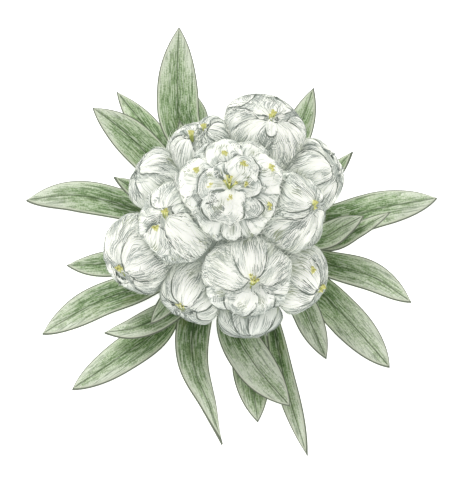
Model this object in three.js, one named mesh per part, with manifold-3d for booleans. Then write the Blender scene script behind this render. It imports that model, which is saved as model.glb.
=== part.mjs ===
// A face-up flower cluster of a small woolly desert herb, cut close under its leaves.
//
// Fifteen plump woolly flower heads sit close together on a short domed stem end. Each head is
// wrapped in overlapping cottony bracts, and small tufts of yellow florets open at the heads'
// mouths. Twenty-four green leaves in three tiers spread out below the heads, and the cluster
// rests on the lowest tier.
//
// Units are millimetres. +Z is up and +Y leads to the back of the cluster. The lists below are
// measured from the stem's axis, and the finished cluster is then moved so that its origin
// lies on the resting surface below the middle of its width and depth.

import * as THREE from 'three';
import { mergeVertices } from 'three/addons/utils/BufferGeometryUtils.js';
import Module from 'manifold-3d';

const wasm = await Module();
wasm.setup();

// Driving dimensions

const CLEARANCE = 0.3;             // gap kept between neighbouring pieces
const DEGREES = Math.PI / 180;

// Stem: a short cut stub that swells into the dome which carries the heads.
const STEM_RADIUS = 2.0;
const STEM_CUT_HEIGHT = 0.5;
const STEM_CUT_ROUNDING = 0.1;
const STEM_STRAIGHT_TOP = 5.0;     // above this height the stem flares
const STEM_FLARE = 0.8;
const STEM_FLARE_TOP = 5.9;
const DOME_CENTRE = new THREE.Vector3(0, 0, 10.5);
const DOME_RADIUS = 6.2;
const DOME_TOP = 14.6;
const DOME_SHOULDER = 40 * DEGREES;   // how far below its centre the dome starts
const DOME_RINGS = 6;
const STEM_SIDES = 16;

// Leaves: blades of even thickness, joined to the stem by a narrow foot.
const LEAF_THICKNESS = 0.65;
const LEAF_FOOT_REACH = STEM_RADIUS + CLEARANCE + 0.1;
const LEAF_FOOT_WIDTH = 0.95;
const LEAF_WIDEST = 0.64;          // where a leaf is broadest, as a share of its length
const LEAF_FULLNESS = 0.65;        // below 1 makes the outline fuller than a sine
const LEAF_STATIONS = 10;
const LEAF_COLUMNS = [-1, 0, 1];
const LEAF_CHANNEL = 0.07;         // how far a blade's margins rise, as a share of its width
const LEAF_FLAT_BELOW = 0.6;       // the channel flattens out under this height
const LEAF_TIERS = { low: 1.5, middle: 2.7, high: 3.9 };   // height of the foot's underside

// Heads: every radius below is a share of the head's own radius.
const CORE_SHARE = 0.84;           // the packed middle that the bracts stand out of
const BRACT_ROOT_SHARE = 0.6;      // bracts are rooted this deep
const BRACT_BULGE_SHARE = 0.04;    // how far a bract's middle swells above its level
const NECK_TOP_SHARE = 0.6;        // the neck runs from the head down to the dome
const NECK_FOOT_SHARE = 0.36;
const NECK_SIDES = 6;
const BALL_DETAIL = 1;
const ROOM_SHARE = 0.95;           // a coarse ball's facets lie this near its middle
const BRACT_EDGE_FALL = 0.28;      // how far a bract's margins sink back into the head
const BRACT_COLUMNS = [-1, -0.45, 0.45, 1];

// A bract's rows from its plump base (0) to its tip (1): how high each stands above the core
// and how wide it is.
const BRACT_ROWS = [
  { along: 0.0, lift: 0.1, width: 0.6 },
  { along: 0.28, lift: 0.92, width: 0.98 },
  { along: 0.7, lift: 1.0, width: 0.8 },
  { along: 1.0, lift: 0.6, width: 0.0 },
];

// Clock angles on a head start at this direction, which leads to the back and a little up.
// They grow anticlockwise for someone who looks at the head's mouth.
const TWELVE_OCLOCK = new THREE.Vector3(0, 0.927, 0.375);

// Florets: small tubes on a disc, standing in a pit of the head.
const PIT_FLOOR_SHARE = 0.84;
const PIT_TOP_SHARE = 1.15;
const PIT_SIDES = 5;
const PIT_FLOOR_GAP = 0.25;
const FLORET_TOP_SHARE = 1.01;
const FLORET_STEP_SHARE = 0.02;    // the middle floret of a wide tuft stands this much higher
const FLORET_DISC_THICKNESS = 0.25;
const FLORET_DISC_SIDES = 6;
const FLORET_TUBE_RADIUS = 0.15;
const FLORET_TUBE_TAPER = 0.9;
const FLORET_TUBE_SIDES = 3;
const FLORET_SETTLE = 0.05;        // how deep a tube stands in its disc
const WIDE_TUFT = 1.0;             // tufts from this width on hold more florets
const FLORET_INSET = 0.04;         // how far the ring of tubes stays inside the disc's edge

// The flower heads, those that lie on top first. A bract is
// [clock, angle of its base from the mouth, angle of its tip, half width, level], in degrees
// and as a share of the radius. One whose tip is farther from the mouth than its base is a lobe
// that hangs outwards. A tuft of florets is [clock, angle from the mouth, width].
const HEADS = [
  {
    name: 'crown', at: [0.0, -0.2, 19.9], bearing: 266, rise: 73, radius: 6.2,
    bracts: [
      [103, 3, 40, 21, 0.97], [180, 3, 50, 25, 0.975], [-94, 3, 40, 16, 0.965],
      [-38, 4, 47, 20, 0.97], [26, 3, 31, 16, 0.965], [141, 10, 51, 20, 0.955],
      [8, 22, 84, 24, 0.95], [64, 22, 92, 24, 0.945], [107, 32, 100, 22, 0.935],
      [146, 40, 104, 20, 0.93], [-160, 42, 104, 20, 0.93], [-118, 30, 98, 26, 0.94],
      [-71, 28, 94, 25, 0.94],
    ],
    florets: [
      [0, 0, 1.5], [11, 38, 0.9], [-37, 27, 1.0], [-68, 57, 0.9], [-122, 54, 1.1],
      [180, 19.5, 0.9], [-99, 18.5, 0.8], [102, 22.5, 0.9], [69, 44, 0.8],
    ],
  },
  {
    name: 'left', at: [-6.1, -3.1, 16.3], bearing: 205, rise: 66, radius: 4.8,
    bracts: [
      [-95, 104, 5, 38, 0.96], [-5, 88, 6, 44, 0.94], [70, 66, 10, 36, 0.92],
      [157, 64, 10, 27, 0.95], [-150, 112, 16, 40, 0.93], [112, 104, 34, 36, 0.91],
      [30, 112, 42, 36, 0.91], [-50, 116, 46, 36, 0.91],
    ],
    florets: [[0, 0, 1.2], [143, 29, 0.9]],
  },
  {
    name: 'front', at: [1.9, -8.7, 14.0], bearing: 285, rise: 52, radius: 5.25,
    bracts: [
      [12, 88, 4, 25, 0.96], [66, 90, 6, 42, 0.94], [-60, 90, 6, 40, 0.94],
      [118, 98, 20, 33, 0.92], [166, 84, 14, 28, 0.94], [-146, 90, 16, 34, 0.925],
      [40, 112, 40, 34, 0.91], [-24, 112, 40, 34, 0.91], [-98, 112, 46, 34, 0.91],
    ],
    florets: [[0, 0, 1.4]],
  },
  {
    name: 'right', at: [6.6, -1.9, 16.3], bearing: 352, rise: 41, radius: 4.9,
    bracts: [
      [95, 112, 6, 33, 0.96], [12, 48, 6, 46, 0.95], [52, 98, 22, 40, 0.92],
      [-150, 104, 9, 33, 0.94], [158, 108, 12, 36, 0.93], [-80, 84, 20, 42, 0.92],
      [-20, 106, 40, 38, 0.91],
    ],
    florets: [[0, 0, 1.3]],
  },
  {
    name: 'back_right', at: [3.8, 8.9, 16.0], bearing: 12, rise: 75, radius: 5,
    bracts: [
      [176, 30, 3, 11, 0.97], [160, 104, 9, 35, 0.945], [-152, 106, 10, 36, 0.94],
      [78, 98, 12, 40, 0.93], [34, 104, 18, 38, 0.92], [-10, 92, 14, 30, 0.93],
      [-66, 104, 14, 38, 0.93], [118, 114, 50, 34, 0.91],
    ],
    florets: [[0, 0, 1.1]],
  },
  {
    name: 'back', at: [-1.6, 7.3, 15.6], bearing: 149, rise: 59, radius: 3.5,
    bracts: [
      [150, 96, 8, 44, 0.95], [80, 104, 12, 44, 0.93], [10, 104, 10, 42, 0.94],
      [-60, 104, 12, 44, 0.93], [-130, 106, 10, 44, 0.92],
    ],
    florets: [[0, 0, 0.9]],
  },
  {
    name: 'back_left', at: [-4.2, 6.3, 15.2], bearing: 117, rise: 64, radius: 3.2,
    bracts: [
      [168, 100, 7, 44, 0.96], [92, 104, 12, 44, 0.93], [20, 104, 9, 40, 0.94],
      [-48, 104, 12, 42, 0.93], [-112, 106, 14, 44, 0.92],
    ],
    florets: [[0, 0, 0.9]],
  },
  {
    name: 'upper_left', at: [-8.7, 3.6, 13.0], bearing: 163, rise: 36, radius: 3.8,
    bracts: [
      [-60, 112, 5, 40, 0.96], [-130, 112, 5, 40, 0.94], [12, 108, 6, 40, 0.93],
      [160, 108, 8, 42, 0.94], [88, 104, 10, 42, 0.93], [48, 118, 44, 40, 0.91],
    ],
    florets: [],
  },
  {
    name: 'lower_right', at: [7.9, -7.8, 10.0], bearing: 323, rise: 18, radius: 4.2,
    bracts: [
      [70, 112, 5, 40, 0.96], [140, 108, 6, 40, 0.94], [-10, 106, 8, 38, 0.93],
      [-140, 106, 8, 44, 0.94], [-72, 104, 10, 40, 0.93], [-178, 118, 44, 38, 0.91],
    ],
    florets: [[0, 0, 1.1], [46, 40, 0.8]],
  },
  {
    name: 'far_right', at: [9.9, 4.8, 11.9], bearing: 7, rise: 45, radius: 4.4,
    bracts: [
      [105, 112, 4, 36, 0.96], [55, 110, 6, 38, 0.94], [158, 110, 5, 38, 0.94],
      [4, 108, 8, 42, 0.93], [-62, 108, 8, 46, 0.93], [-134, 110, 8, 46, 0.92],
    ],
    florets: [],
  },
  {
    name: 'lower_left', at: [-4.2, -8.9, 9.2], bearing: 240, rise: 23, radius: 4.25,
    bracts: [
      [20, 108, 5, 42, 0.96], [-48, 110, 8, 42, 0.94], [84, 110, 8, 42, 0.93],
      [-118, 104, 8, 42, 0.93], [150, 104, 9, 42, 0.93],
    ],
    florets: [[0, 0, 1.2]],
  },
  {
    name: 'far_left', at: [-11.2, -4.6, 10.4], bearing: 235, rise: 26, radius: 4.9,
    bracts: [
      [-30, 118, 6, 40, 0.96], [36, 114, 6, 38, 0.94], [-92, 110, 8, 38, 0.93],
      [96, 104, 9, 38, 0.93], [150, 104, 9, 38, 0.92], [-146, 104, 9, 38, 0.92],
    ],
    florets: [[0, 0, 1.1]],
  },
  {
    name: 'low_front', at: [2.2, -11.0, 8.3], bearing: 274, rise: 2, radius: 4,
    bracts: [
      [0, 114, 5, 32, 0.96], [56, 112, 7, 38, 0.94], [-56, 112, 7, 38, 0.94],
      [116, 106, 8, 38, 0.92], [-116, 106, 8, 38, 0.92], [180, 104, 8, 38, 0.92],
    ],
    florets: [],
  },
  {
    name: 'hidden_right', at: [4.4, 9.4, 9.3], bearing: 65, rise: 20, radius: 3.8,
    bracts: [
      [0, 112, 6, 48, 0.95], [88, 110, 8, 48, 0.93], [-88, 110, 8, 48, 0.93],
      [178, 108, 8, 46, 0.92],
    ],
    florets: [],
  },
  {
    name: 'hidden_left', at: [-4.2, 9.2, 9.6], bearing: 115, rise: 20, radius: 3.7,
    bracts: [
      [0, 112, 6, 48, 0.95], [88, 110, 8, 48, 0.93], [-88, 110, 8, 48, 0.93],
      [178, 108, 8, 46, 0.92],
    ],
    florets: [],
  },
];

// The leaves. Each path lists [bearing in degrees, reach from the stem, height of the
// underside] after the foot, whose bearing is given by itself. Roll tips the blade about its
// midrib at the tip end, in degrees. Widest is where along its length a leaf is broadest, and
// full is how full its outline is. A leaf whose path comes down to height 0 lies flat there.
const LEAVES = [
  { name: 'n', tier: 'middle', foot: 96, width: 5.4,
    path: [[104, 8, 3], [112.8, 16.3, 4.1], [109, 21, 4.9], [103.5, 28.4, 7.5]] },
  { name: 'n_low', tier: 'low', foot: 76, width: 4,
    path: [[92, 8, 0.9], [105.6, 16.4, 0.3], [103.7, 19.5, 0], [103.5, 22.9, 0]] },
  { name: 'n_small', tier: 'high', foot: 112, width: 2.2,
    path: [[114, 7, 4.2], [115, 11, 4.7], [115, 14.4, 5.3], [113.5, 16.4, 6.6]] },
  { name: 'nw_low', tier: 'low', foot: 116, width: 3.8,
    path: [[119, 8, 0.9], [123, 15, 0.4], [123.4, 21, 0], [124.2, 26.3, 0]] },
  { name: 'nw', tier: 'middle', foot: 134, width: 5, roll: -6,
    path: [[134, 8, 2.4], [132, 15.8, 2.5], [133, 20.4, 3.2], [135, 25.1, 4.1]] },
  { name: 'w_small', tier: 'high', foot: 150, width: 2.8, roll: 10,
    path: [[152, 7, 3.9], [153.5, 11, 4.1], [153.3, 13.7, 4.4], [153.2, 16.7, 5.3]] },
  { name: 'w', tier: 'low', foot: 157, width: 4.5, full: 0.55,
    path: [[157, 8, 0.9], [158, 15.6, 0.5], [160.5, 21.5, 0], [166.1, 27, 0]] },
  { name: 'wsw', tier: 'middle', foot: 178, width: 3.7, full: 0.6,
    path: [[186, 8, 2.3], [191, 13.6, 1.8], [189.5, 17.8, 1.3], [187.8, 21, 1]] },
  { name: 'sw', tier: 'middle', foot: 216, width: 4.5, full: 0.55, roll: 6,
    path: [[213, 7, 2.5], [209, 12.2, 2.1], [205.8, 18.8, 1.7], [207.3, 26.7, 1.1]] },
  { name: 'sw_near', tier: 'middle', foot: 248, width: 3.5, roll: 4,
    path: [[240, 7, 2.6], [231, 12.7, 2.5], [224.5, 17, 2.4], [218.2, 20.2, 2.2]] },
  { name: 'sw_small', tier: 'high', foot: 228, width: 2.6,
    path: [[228, 6.5, 3.9], [229, 10.5, 4], [229.5, 13.2, 3.9], [229.6, 15.6, 3.7]] },
  { name: 'sw_low', tier: 'low', foot: 196, width: 4.5, full: 0.55,
    path: [[214, 7, 0.8], [230, 14.4, 0.1], [227, 20.2, 0], [224, 27.7, 0]] },
  { name: 's_twisted', tier: 'low', foot: 236, width: 4.4, full: 0.9, roll: -28, widest: 0.38,
    path: [[243, 7, 1.4], [246.8, 11.8, 1.4], [253.2, 16.6, 0.7], [262.5, 21.6, 0.1],
      [267.5, 26.6, 0]] },
  { name: 's_broad', tier: 'middle', foot: 284, width: 5.2, roll: 6,
    path: [[275, 7, 2.4], [271, 11.1, 2.3], [280, 16.8, 2.2], [288.6, 23.3, 1.8]] },
  { name: 's_low', tier: 'low', foot: 276, width: 4.8,
    path: [[279, 7, 1], [281, 12.4, 0.9], [278.6, 17.5, 0.6], [278.2, 23.8, 0]] },
  { name: 's_curled', tier: 'low', foot: 316, width: 2.7, roll: 20,
    path: [[307, 7, 0.7], [296, 12.7, 0.1], [290.9, 19, 0], [289, 29.6, 0]] },
  { name: 'se_small', tier: 'middle', foot: 316, width: 3.6,
    path: [[316, 7, 2.4], [315.5, 12.6, 2.3], [311.5, 15.5, 2], [307.4, 19.8, 1.6]] },
  { name: 'se', tier: 'low', foot: 352, width: 4.9, full: 0.55,
    path: [[343, 7, 0.9], [330.4, 13.5, 0.3], [325.7, 18.5, 0], [320.9, 25.8, 0]] },
  { name: 'ese', tier: 'middle', foot: 344, width: 4.1, full: 0.6,
    path: [[346, 7, 2.1], [346, 13.5, 1.9], [345.3, 18.5, 1.7], [340.7, 24.2, 1.3]] },
  { name: 'e_long', tier: 'low', foot: 28, width: 5, full: 0.55,
    path: [[22, 8, 0.9], [15, 14.4, 0.3], [15.8, 19.5, 0], [14.4, 27.3, 0]] },
  { name: 'e_folded', tier: 'middle', foot: 12, width: 2.2, roll: 12,
    path: [[5, 7, 2.9], [357, 12.7, 3.2], [3.8, 16, 3.2], [10.3, 20.7, 3.1]] },
  { name: 'e_top', tier: 'high', foot: 352, width: 3.5,
    path: [[355, 6.5, 4.2], [357.6, 11.6, 4.7], [4.1, 14.5, 4.9], [7.8, 17, 5]] },
  { name: 'ene_small', tier: 'middle', foot: 40, width: 2.7, roll: -8,
    path: [[38, 8, 2.5], [35.5, 12.5, 2.5], [35, 15.9, 2.8], [36.2, 19.4, 4.4]] },
  { name: 'ne', tier: 'middle', foot: 68, width: 3.9,
    path: [[63, 8, 2.6], [59, 14, 2.5], [60.5, 18.5, 3.2], [62.1, 22.8, 5.1]] },
];

// Materials

function finish(colour, roughness) {
  return new THREE.MeshStandardMaterial({ color: colour, roughness, metalness: 0 });
}

const LEAF_FINISH = () => finish('#6f8f60', 0.6);
const WOOL_FINISH = () => finish('#f1f2ec', 0.95);
const FLORET_FINISH = () => finish('#c9c95a', 0.7);
const STEM_FINISH = () => finish('#b9c2a4', 0.9);

// Solids from faces and back again

function toSolid(geometry) {
  const bare = geometry.clone();
  bare.deleteAttribute('normal');
  bare.deleteAttribute('uv');
  const merged = mergeVertices(bare, 1e-4);
  return new wasm.Manifold(new wasm.Mesh({
    numProp: 3,
    vertProperties: merged.attributes.position.array,
    triVerts: new Uint32Array(merged.index.array),
  }));
}

function toGeometry(solid) {
  const faces = solid.getMesh();
  const geometry = new THREE.BufferGeometry();
  geometry.setAttribute('position', new THREE.BufferAttribute(faces.vertProperties, 3));
  geometry.setIndex(new THREE.BufferAttribute(faces.triVerts, 1));
  geometry.computeVertexNormals();
  return geometry;
}

function largestBody(solid) {
  const bodies = solid.decompose();
  return bodies.reduce((best, body) => (body.volume() > best.volume() ? body : best));
}

// The faces between rows of points. Rows hold equally many points, but the last may be one.
function stripFaces(rows, flip) {
  const faces = [];
  for (let i = 0; i + 1 < rows.length; i += 1) {
    for (let j = 0; j + 1 < rows[i].length; j += 1) {
      const [a, b] = [rows[i][j], rows[i][j + 1]];
      if (rows[i + 1].length === 1) {
        faces.push([a, b, rows[i + 1][0]]);
      } else {
        faces.push([a, b, rows[i + 1][j + 1]], [a, rows[i + 1][j + 1], rows[i + 1][j]]);
      }
    }
  }
  return flip ? faces.map(([a, b, c]) => [a, c, b]) : faces;
}

// The points round the edge of a set of rows, in order.
function outline(rows) {
  const last = rows[rows.length - 1];
  const right = rows.slice(1, -1).map((row) => row[row.length - 1]);
  const left = rows.slice(1, -1).map((row) => row[0]).reverse();
  return [...rows[0], ...right, ...[...last].reverse(), ...left];
}

// A closed solid between an outer face and an inner face that have the same rows.
function slab(outer, inner) {
  const faces = [...stripFaces(outer, false), ...stripFaces(inner, true)];
  const [rim, root] = [outline(outer), outline(inner)];
  rim.forEach((point, i) => {
    const next = (i + 1) % rim.length;
    faces.push([rim[next], point, root[i]], [rim[next], root[i], root[next]]);
  });
  return new THREE.BufferGeometry().setFromPoints(faces.flat());
}

// Leaves

function polarPoint([bearing, reach, height]) {
  const angle = bearing * DEGREES;
  return new THREE.Vector3(reach * Math.cos(angle), reach * Math.sin(angle), height);
}

// A lance shape, broadest where the leaf says and pointed at the tip.
function lanceWidth(along, width, widest, full) {
  const stretched = along ** (Math.log(0.5) / Math.log(widest));
  const swell = Math.sin(Math.PI * stretched) ** full;
  return Math.max(LEAF_FOOT_WIDTH * (1 - along), width * swell);
}

function leafGeometry({
  tier, foot, path, width, roll = 0, widest = LEAF_WIDEST, full = LEAF_FULLNESS,
}) {
  const start = polarPoint([foot, LEAF_FOOT_REACH, LEAF_TIERS[tier]]);
  const curve = new THREE.CatmullRomCurve3([start, ...path.map(polarPoint)]);
  const upper = [];
  const lower = [];
  for (let i = 0; i <= LEAF_STATIONS; i += 1) {
    const along = i / LEAF_STATIONS;
    const middle = curve.getPointAt(along);
    const ahead = curve.getTangentAt(along);
    const side = new THREE.Vector3(0, 0, 1).cross(ahead).normalize();
    side.applyAxisAngle(ahead, roll * along ** 2 * DEGREES);
    const up = ahead.clone().cross(side);
    const wide = lanceWidth(Math.min(along, 0.999), width, widest, full);
    const channel = LEAF_CHANNEL * wide * Math.min(1, Math.max(0, middle.z) / LEAF_FLAT_BELOW);
    const columns = i < LEAF_STATIONS ? LEAF_COLUMNS : [0];
    const row = columns.map((across) => middle.clone()
      .addScaledVector(side, -across * wide / 2)
      .addScaledVector(up, channel * across ** 2));
    lower.push(row.map((point) => point.clone().setZ(Math.max(point.z, 0))));
    upper.push(row.map((point) => {
      const top = point.clone().addScaledVector(up, LEAF_THICKNESS);
      return top.setZ(Math.max(top.z, LEAF_THICKNESS));
    }));
  }
  return slab(upper, lower);
}

// Stem and the dome that carries the heads

function stemProfile(grow) {
  const points = [
    [0, STEM_CUT_HEIGHT - grow],
    [STEM_RADIUS - STEM_CUT_ROUNDING + grow, STEM_CUT_HEIGHT - grow],
    [STEM_RADIUS + grow, STEM_CUT_HEIGHT + STEM_CUT_ROUNDING],
    [STEM_RADIUS + grow, STEM_STRAIGHT_TOP],
    [STEM_RADIUS + STEM_FLARE + grow, STEM_FLARE_TOP],
  ];
  const height = DOME_TOP - DOME_CENTRE.z;
  for (let i = 0; i <= DOME_RINGS; i += 1) {
    const angle = -DOME_SHOULDER + (i / DOME_RINGS) * (Math.PI / 2 + DOME_SHOULDER);
    points.push([
      (DOME_RADIUS + grow) * Math.cos(angle),
      DOME_CENTRE.z + (height + grow) * Math.sin(angle),
    ]);
  }
  points[points.length - 1][0] = 0;
  return points.map(([x, y]) => new THREE.Vector2(x, y));
}

function stemGeometry(grow) {
  const lathe = new THREE.LatheGeometry(stemProfile(grow), STEM_SIDES);
  return lathe.rotateX(Math.PI / 2);
}

// Heads

function headFrame({ at, bearing, rise }) {
  const mouth = new THREE.Vector3(
    Math.cos(bearing * DEGREES) * Math.cos(rise * DEGREES),
    Math.sin(bearing * DEGREES) * Math.cos(rise * DEGREES),
    Math.sin(rise * DEGREES),
  );
  const twelve = TWELVE_OCLOCK.clone().addScaledVector(mouth, -TWELVE_OCLOCK.dot(mouth));
  twelve.normalize();
  return {
    centre: new THREE.Vector3(...at), mouth, twelve, nine: mouth.clone().cross(twelve),
  };
}

// The direction at a clock angle and an angle from the mouth, moved sideways by a third angle.
function headDirection(frame, clock, fromMouth, sideways = 0) {
  const [turn, lean, aside] = [clock * DEGREES, fromMouth * DEGREES, sideways * DEGREES];
  const outward = frame.twelve.clone().multiplyScalar(Math.cos(turn))
    .addScaledVector(frame.nine, Math.sin(turn));
  const across = frame.nine.clone().multiplyScalar(Math.cos(turn))
    .addScaledVector(frame.twelve, -Math.sin(turn));
  return frame.mouth.clone().multiplyScalar(Math.cos(lean))
    .addScaledVector(outward, Math.sin(lean))
    .multiplyScalar(Math.cos(aside))
    .addScaledVector(across, Math.sin(aside));
}

function bractGeometry(head, frame, [clock, base, tip, half, level]) {
  const sense = base > tip ? 1 : -1;   // keeps the faces of a lobe that hangs outwards facing out
  const outer = [];
  const inner = [];
  BRACT_ROWS.forEach(({ along, lift, width }) => {
    const lean = THREE.MathUtils.lerp(base, tip, along);
    const columns = width > 0 ? BRACT_COLUMNS : [0];
    const directions = columns.map((across) => (
      headDirection(frame, clock, lean, sense * across * half * width)
    ));
    outer.push(directions.map((direction, j) => {
      const round = 1 - BRACT_EDGE_FALL * columns[j] ** 4;
      const swell = BRACT_BULGE_SHARE * (1 - columns[j] ** 2) * lift;
      const share = CORE_SHARE + (level - CORE_SHARE) * lift * round + swell;
      return frame.centre.clone().addScaledVector(direction, share * head.radius);
    }));
    inner.push(directions.map((direction) => (
      frame.centre.clone().addScaledVector(direction, BRACT_ROOT_SHARE * head.radius)
    )));
  });
  return slab(outer, inner);
}

// A closed prism or tapered drum from one point to another.
function drum(from, to, fromRadius, toRadius, sides) {
  const ahead = to.clone().sub(from).normalize();
  const turn = new THREE.Quaternion().setFromUnitVectors(new THREE.Vector3(0, 0, 1), ahead);
  const ring = (centre, radius) => Array.from({ length: sides }, (_, i) => {
    const angle = (i / sides) * 2 * Math.PI;
    return new THREE.Vector3(radius * Math.cos(angle), radius * Math.sin(angle), 0)
      .applyQuaternion(turn).add(centre);
  });
  const [low, high] = [ring(from, fromRadius), ring(to, toRadius)];
  const faces = [];
  for (let i = 0; i < sides; i += 1) {
    const next = (i + 1) % sides;
    faces.push([low[i], low[next], high[next]], [low[i], high[next], high[i]]);
  }
  for (let i = 1; i + 1 < sides; i += 1) {
    faces.push([low[0], low[i + 1], low[i]], [high[0], high[i], high[i + 1]]);
  }
  return new THREE.BufferGeometry().setFromPoints(faces.flat());
}

function ball(centre, radius) {
  const geometry = new THREE.IcosahedronGeometry(radius, BALL_DETAIL);
  return geometry.translate(centre.x, centre.y, centre.z);
}

function neckGeometry(head, frame, grow) {
  return drum(frame.centre, DOME_CENTRE, NECK_TOP_SHARE * head.radius + grow,
    NECK_FOOT_SHARE * head.radius + grow, NECK_SIDES);
}

// What a head needs clear of its neighbours: itself, a little larger all over.
function headRoom(head, frame) {
  const room = toSolid(ball(frame.centre, (head.radius + CLEARANCE) / ROOM_SHARE));
  return room.add(toSolid(neckGeometry(head, frame, CLEARANCE)));
}

function floretPit(head, frame, [clock, fromMouth, width]) {
  const direction = headDirection(frame, clock, fromMouth);
  const at = (share) => frame.centre.clone().addScaledVector(direction, share * head.radius);
  const radius = width / 2 + CLEARANCE;
  return toSolid(drum(at(PIT_FLOOR_SHARE), at(PIT_TOP_SHARE), radius, radius, PIT_SIDES));
}

function headSolid(head, frame, rooms) {
  let solid = toSolid(ball(frame.centre, CORE_SHARE * head.radius))
    .add(toSolid(neckGeometry(head, frame, 0)));
  head.bracts.forEach((bract) => {
    solid = solid.add(toSolid(bractGeometry(head, frame, bract)));
  });
  rooms.forEach((room) => {
    solid = solid.subtract(room);
  });
  head.florets.forEach((floret) => {
    solid = solid.subtract(floretPit(head, frame, floret));
  });
  return largestBody(solid);
}

// Florets

function floretSolid(head, frame, [clock, fromMouth, width]) {
  const direction = headDirection(frame, clock, fromMouth);
  const side = frame.nine.clone().cross(direction).normalize();
  const floor = PIT_FLOOR_SHARE * head.radius + PIT_FLOOR_GAP;
  const discTop = floor + FLORET_DISC_THICKNESS;
  const ring = width / 2 - FLORET_TUBE_RADIUS - FLORET_INSET;
  const wide = width >= WIDE_TUFT;
  const count = wide ? 5 : 3;
  const at = (height, out) => frame.centre.clone().addScaledVector(direction, height).add(out);
  const tube = (out, topShare) => toSolid(drum(
    at(discTop - FLORET_SETTLE, out), at(head.radius * topShare, out),
    FLORET_TUBE_RADIUS * FLORET_TUBE_TAPER, FLORET_TUBE_RADIUS, FLORET_TUBE_SIDES,
  ));
  const axis = new THREE.Vector3();
  let solid = toSolid(drum(at(floor, axis), at(discTop, axis), width / 2, width / 2,
    FLORET_DISC_SIDES));
  for (let i = 0; i < count; i += 1) {
    const out = side.clone().multiplyScalar(ring);
    out.applyAxisAngle(direction, (i / count) * 2 * Math.PI);
    solid = solid.add(tube(out, FLORET_TOP_SHARE));
  }
  return wide ? solid.add(tube(axis, FLORET_TOP_SHARE + FLORET_STEP_SHARE)) : solid;
}

// The whole cluster

function piece(name, geometry, material) {
  const mesh = new THREE.Mesh(geometry, material);
  mesh.name = name;
  return mesh;
}

const cluster = new THREE.Group();
cluster.add(piece('stem', stemGeometry(0), STEM_FINISH()));

LEAVES.forEach((leaf) => {
  cluster.add(piece(`leaf_${leaf.name}`, leafGeometry(leaf), LEAF_FINISH()));
});

const rooms = [toSolid(stemGeometry(CLEARANCE))];
HEADS.forEach((head) => {
  const frame = headFrame(head);
  const solid = headSolid(head, frame, rooms);
  rooms.push(headRoom(head, frame));
  cluster.add(piece(`head_${head.name}`, toGeometry(solid), WOOL_FINISH()));
  head.florets.forEach((floret, i) => {
    const tuft = toGeometry(floretSolid(head, frame, floret));
    cluster.add(piece(`florets_${head.name}_${i + 1}`, tuft, FLORET_FINISH()));
  });
});

// The origin lies on the resting surface, below the middle of the cluster's width and depth.
const reach = new THREE.Box3().setFromObject(cluster);
const middle = reach.getCenter(new THREE.Vector3());
cluster.position.set(-middle.x, -middle.y, -reach.min.z);

export default cluster;
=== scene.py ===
# %% [markdown]
# # A woolly flower cluster
# This lesson dresses a faceted model of a small woolly desert herb that was cut close under
# its leaves. Fifteen cottony heads sit on a short domed stem, tufts of yellow-green florets
# peep out of them, and pointed leaves lie round them in three tiers. The faceted model is the
# fixed frame: each of its pieces gets a finer one in the same place. Lengths are written in
# millimetres, as a botanist would note them, and become metres when a mesh is made.

# %% Load the faceted model and note its box
import math

import bpy
import numpy as np
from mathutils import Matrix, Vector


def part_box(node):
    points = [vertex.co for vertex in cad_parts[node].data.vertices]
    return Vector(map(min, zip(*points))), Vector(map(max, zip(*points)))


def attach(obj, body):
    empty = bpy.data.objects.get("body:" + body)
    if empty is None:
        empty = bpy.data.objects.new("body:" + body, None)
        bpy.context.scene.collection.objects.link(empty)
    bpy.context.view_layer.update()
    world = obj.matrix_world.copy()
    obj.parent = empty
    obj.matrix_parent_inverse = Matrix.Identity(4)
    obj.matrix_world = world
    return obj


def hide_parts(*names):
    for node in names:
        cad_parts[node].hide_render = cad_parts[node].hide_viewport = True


MILLIMETRE = 0.001
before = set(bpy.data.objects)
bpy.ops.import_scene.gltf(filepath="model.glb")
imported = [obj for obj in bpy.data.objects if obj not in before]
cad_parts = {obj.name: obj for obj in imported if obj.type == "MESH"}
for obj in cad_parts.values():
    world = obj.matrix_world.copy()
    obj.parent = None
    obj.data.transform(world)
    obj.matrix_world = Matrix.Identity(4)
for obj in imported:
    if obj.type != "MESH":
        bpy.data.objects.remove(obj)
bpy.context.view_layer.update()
stem_low, stem_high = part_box("stem")
STEM_AXIS = np.array([(stem_low.x + stem_high.x) / 2, (stem_low.y + stem_high.y) / 2, 0.0])
STEM_AXIS /= MILLIMETRE
rng = np.random.default_rng(2024)
print("nodes:", len(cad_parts), "stem axis at", STEM_AXIS.round(3), "mm")

# %% [markdown]
# ## Camera
# The cluster is seen from high in front: the eye stands 68 degrees above the horizon. A long
# lens from half a metre away keeps the perspective as calm as in a botanical plate. The point
# that the camera aims at lands in the middle of the picture.

# %% Place the camera
VIEW_ELEVATION = math.radians(68)
VIEW_DISTANCE = 500.0
VIEW_TARGET = STEM_AXIS + np.array([0.1, -2.9, 10.0])
VIEW_TOWARDS = np.array([0.0, -math.cos(VIEW_ELEVATION), math.sin(VIEW_ELEVATION)])


def put(name, data):
    """An object in the scene that shows this data."""
    made = bpy.data.objects.new(name, data)
    bpy.context.scene.collection.objects.link(made)
    return made


lens = bpy.data.cameras.new("plate_camera")
lens.lens, lens.sensor_width = 300, 36
lens.clip_start, lens.clip_end = 0.01, 10
camera = put("plate_camera", lens)
camera.location = (VIEW_TARGET + VIEW_DISTANCE * VIEW_TOWARDS) * MILLIMETRE
camera.rotation_euler = (math.pi / 2 - VIEW_ELEVATION, 0, 0)
bpy.context.scene.camera = camera
print("camera at", [round(x, 4) for x in camera.location], "m")

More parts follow.
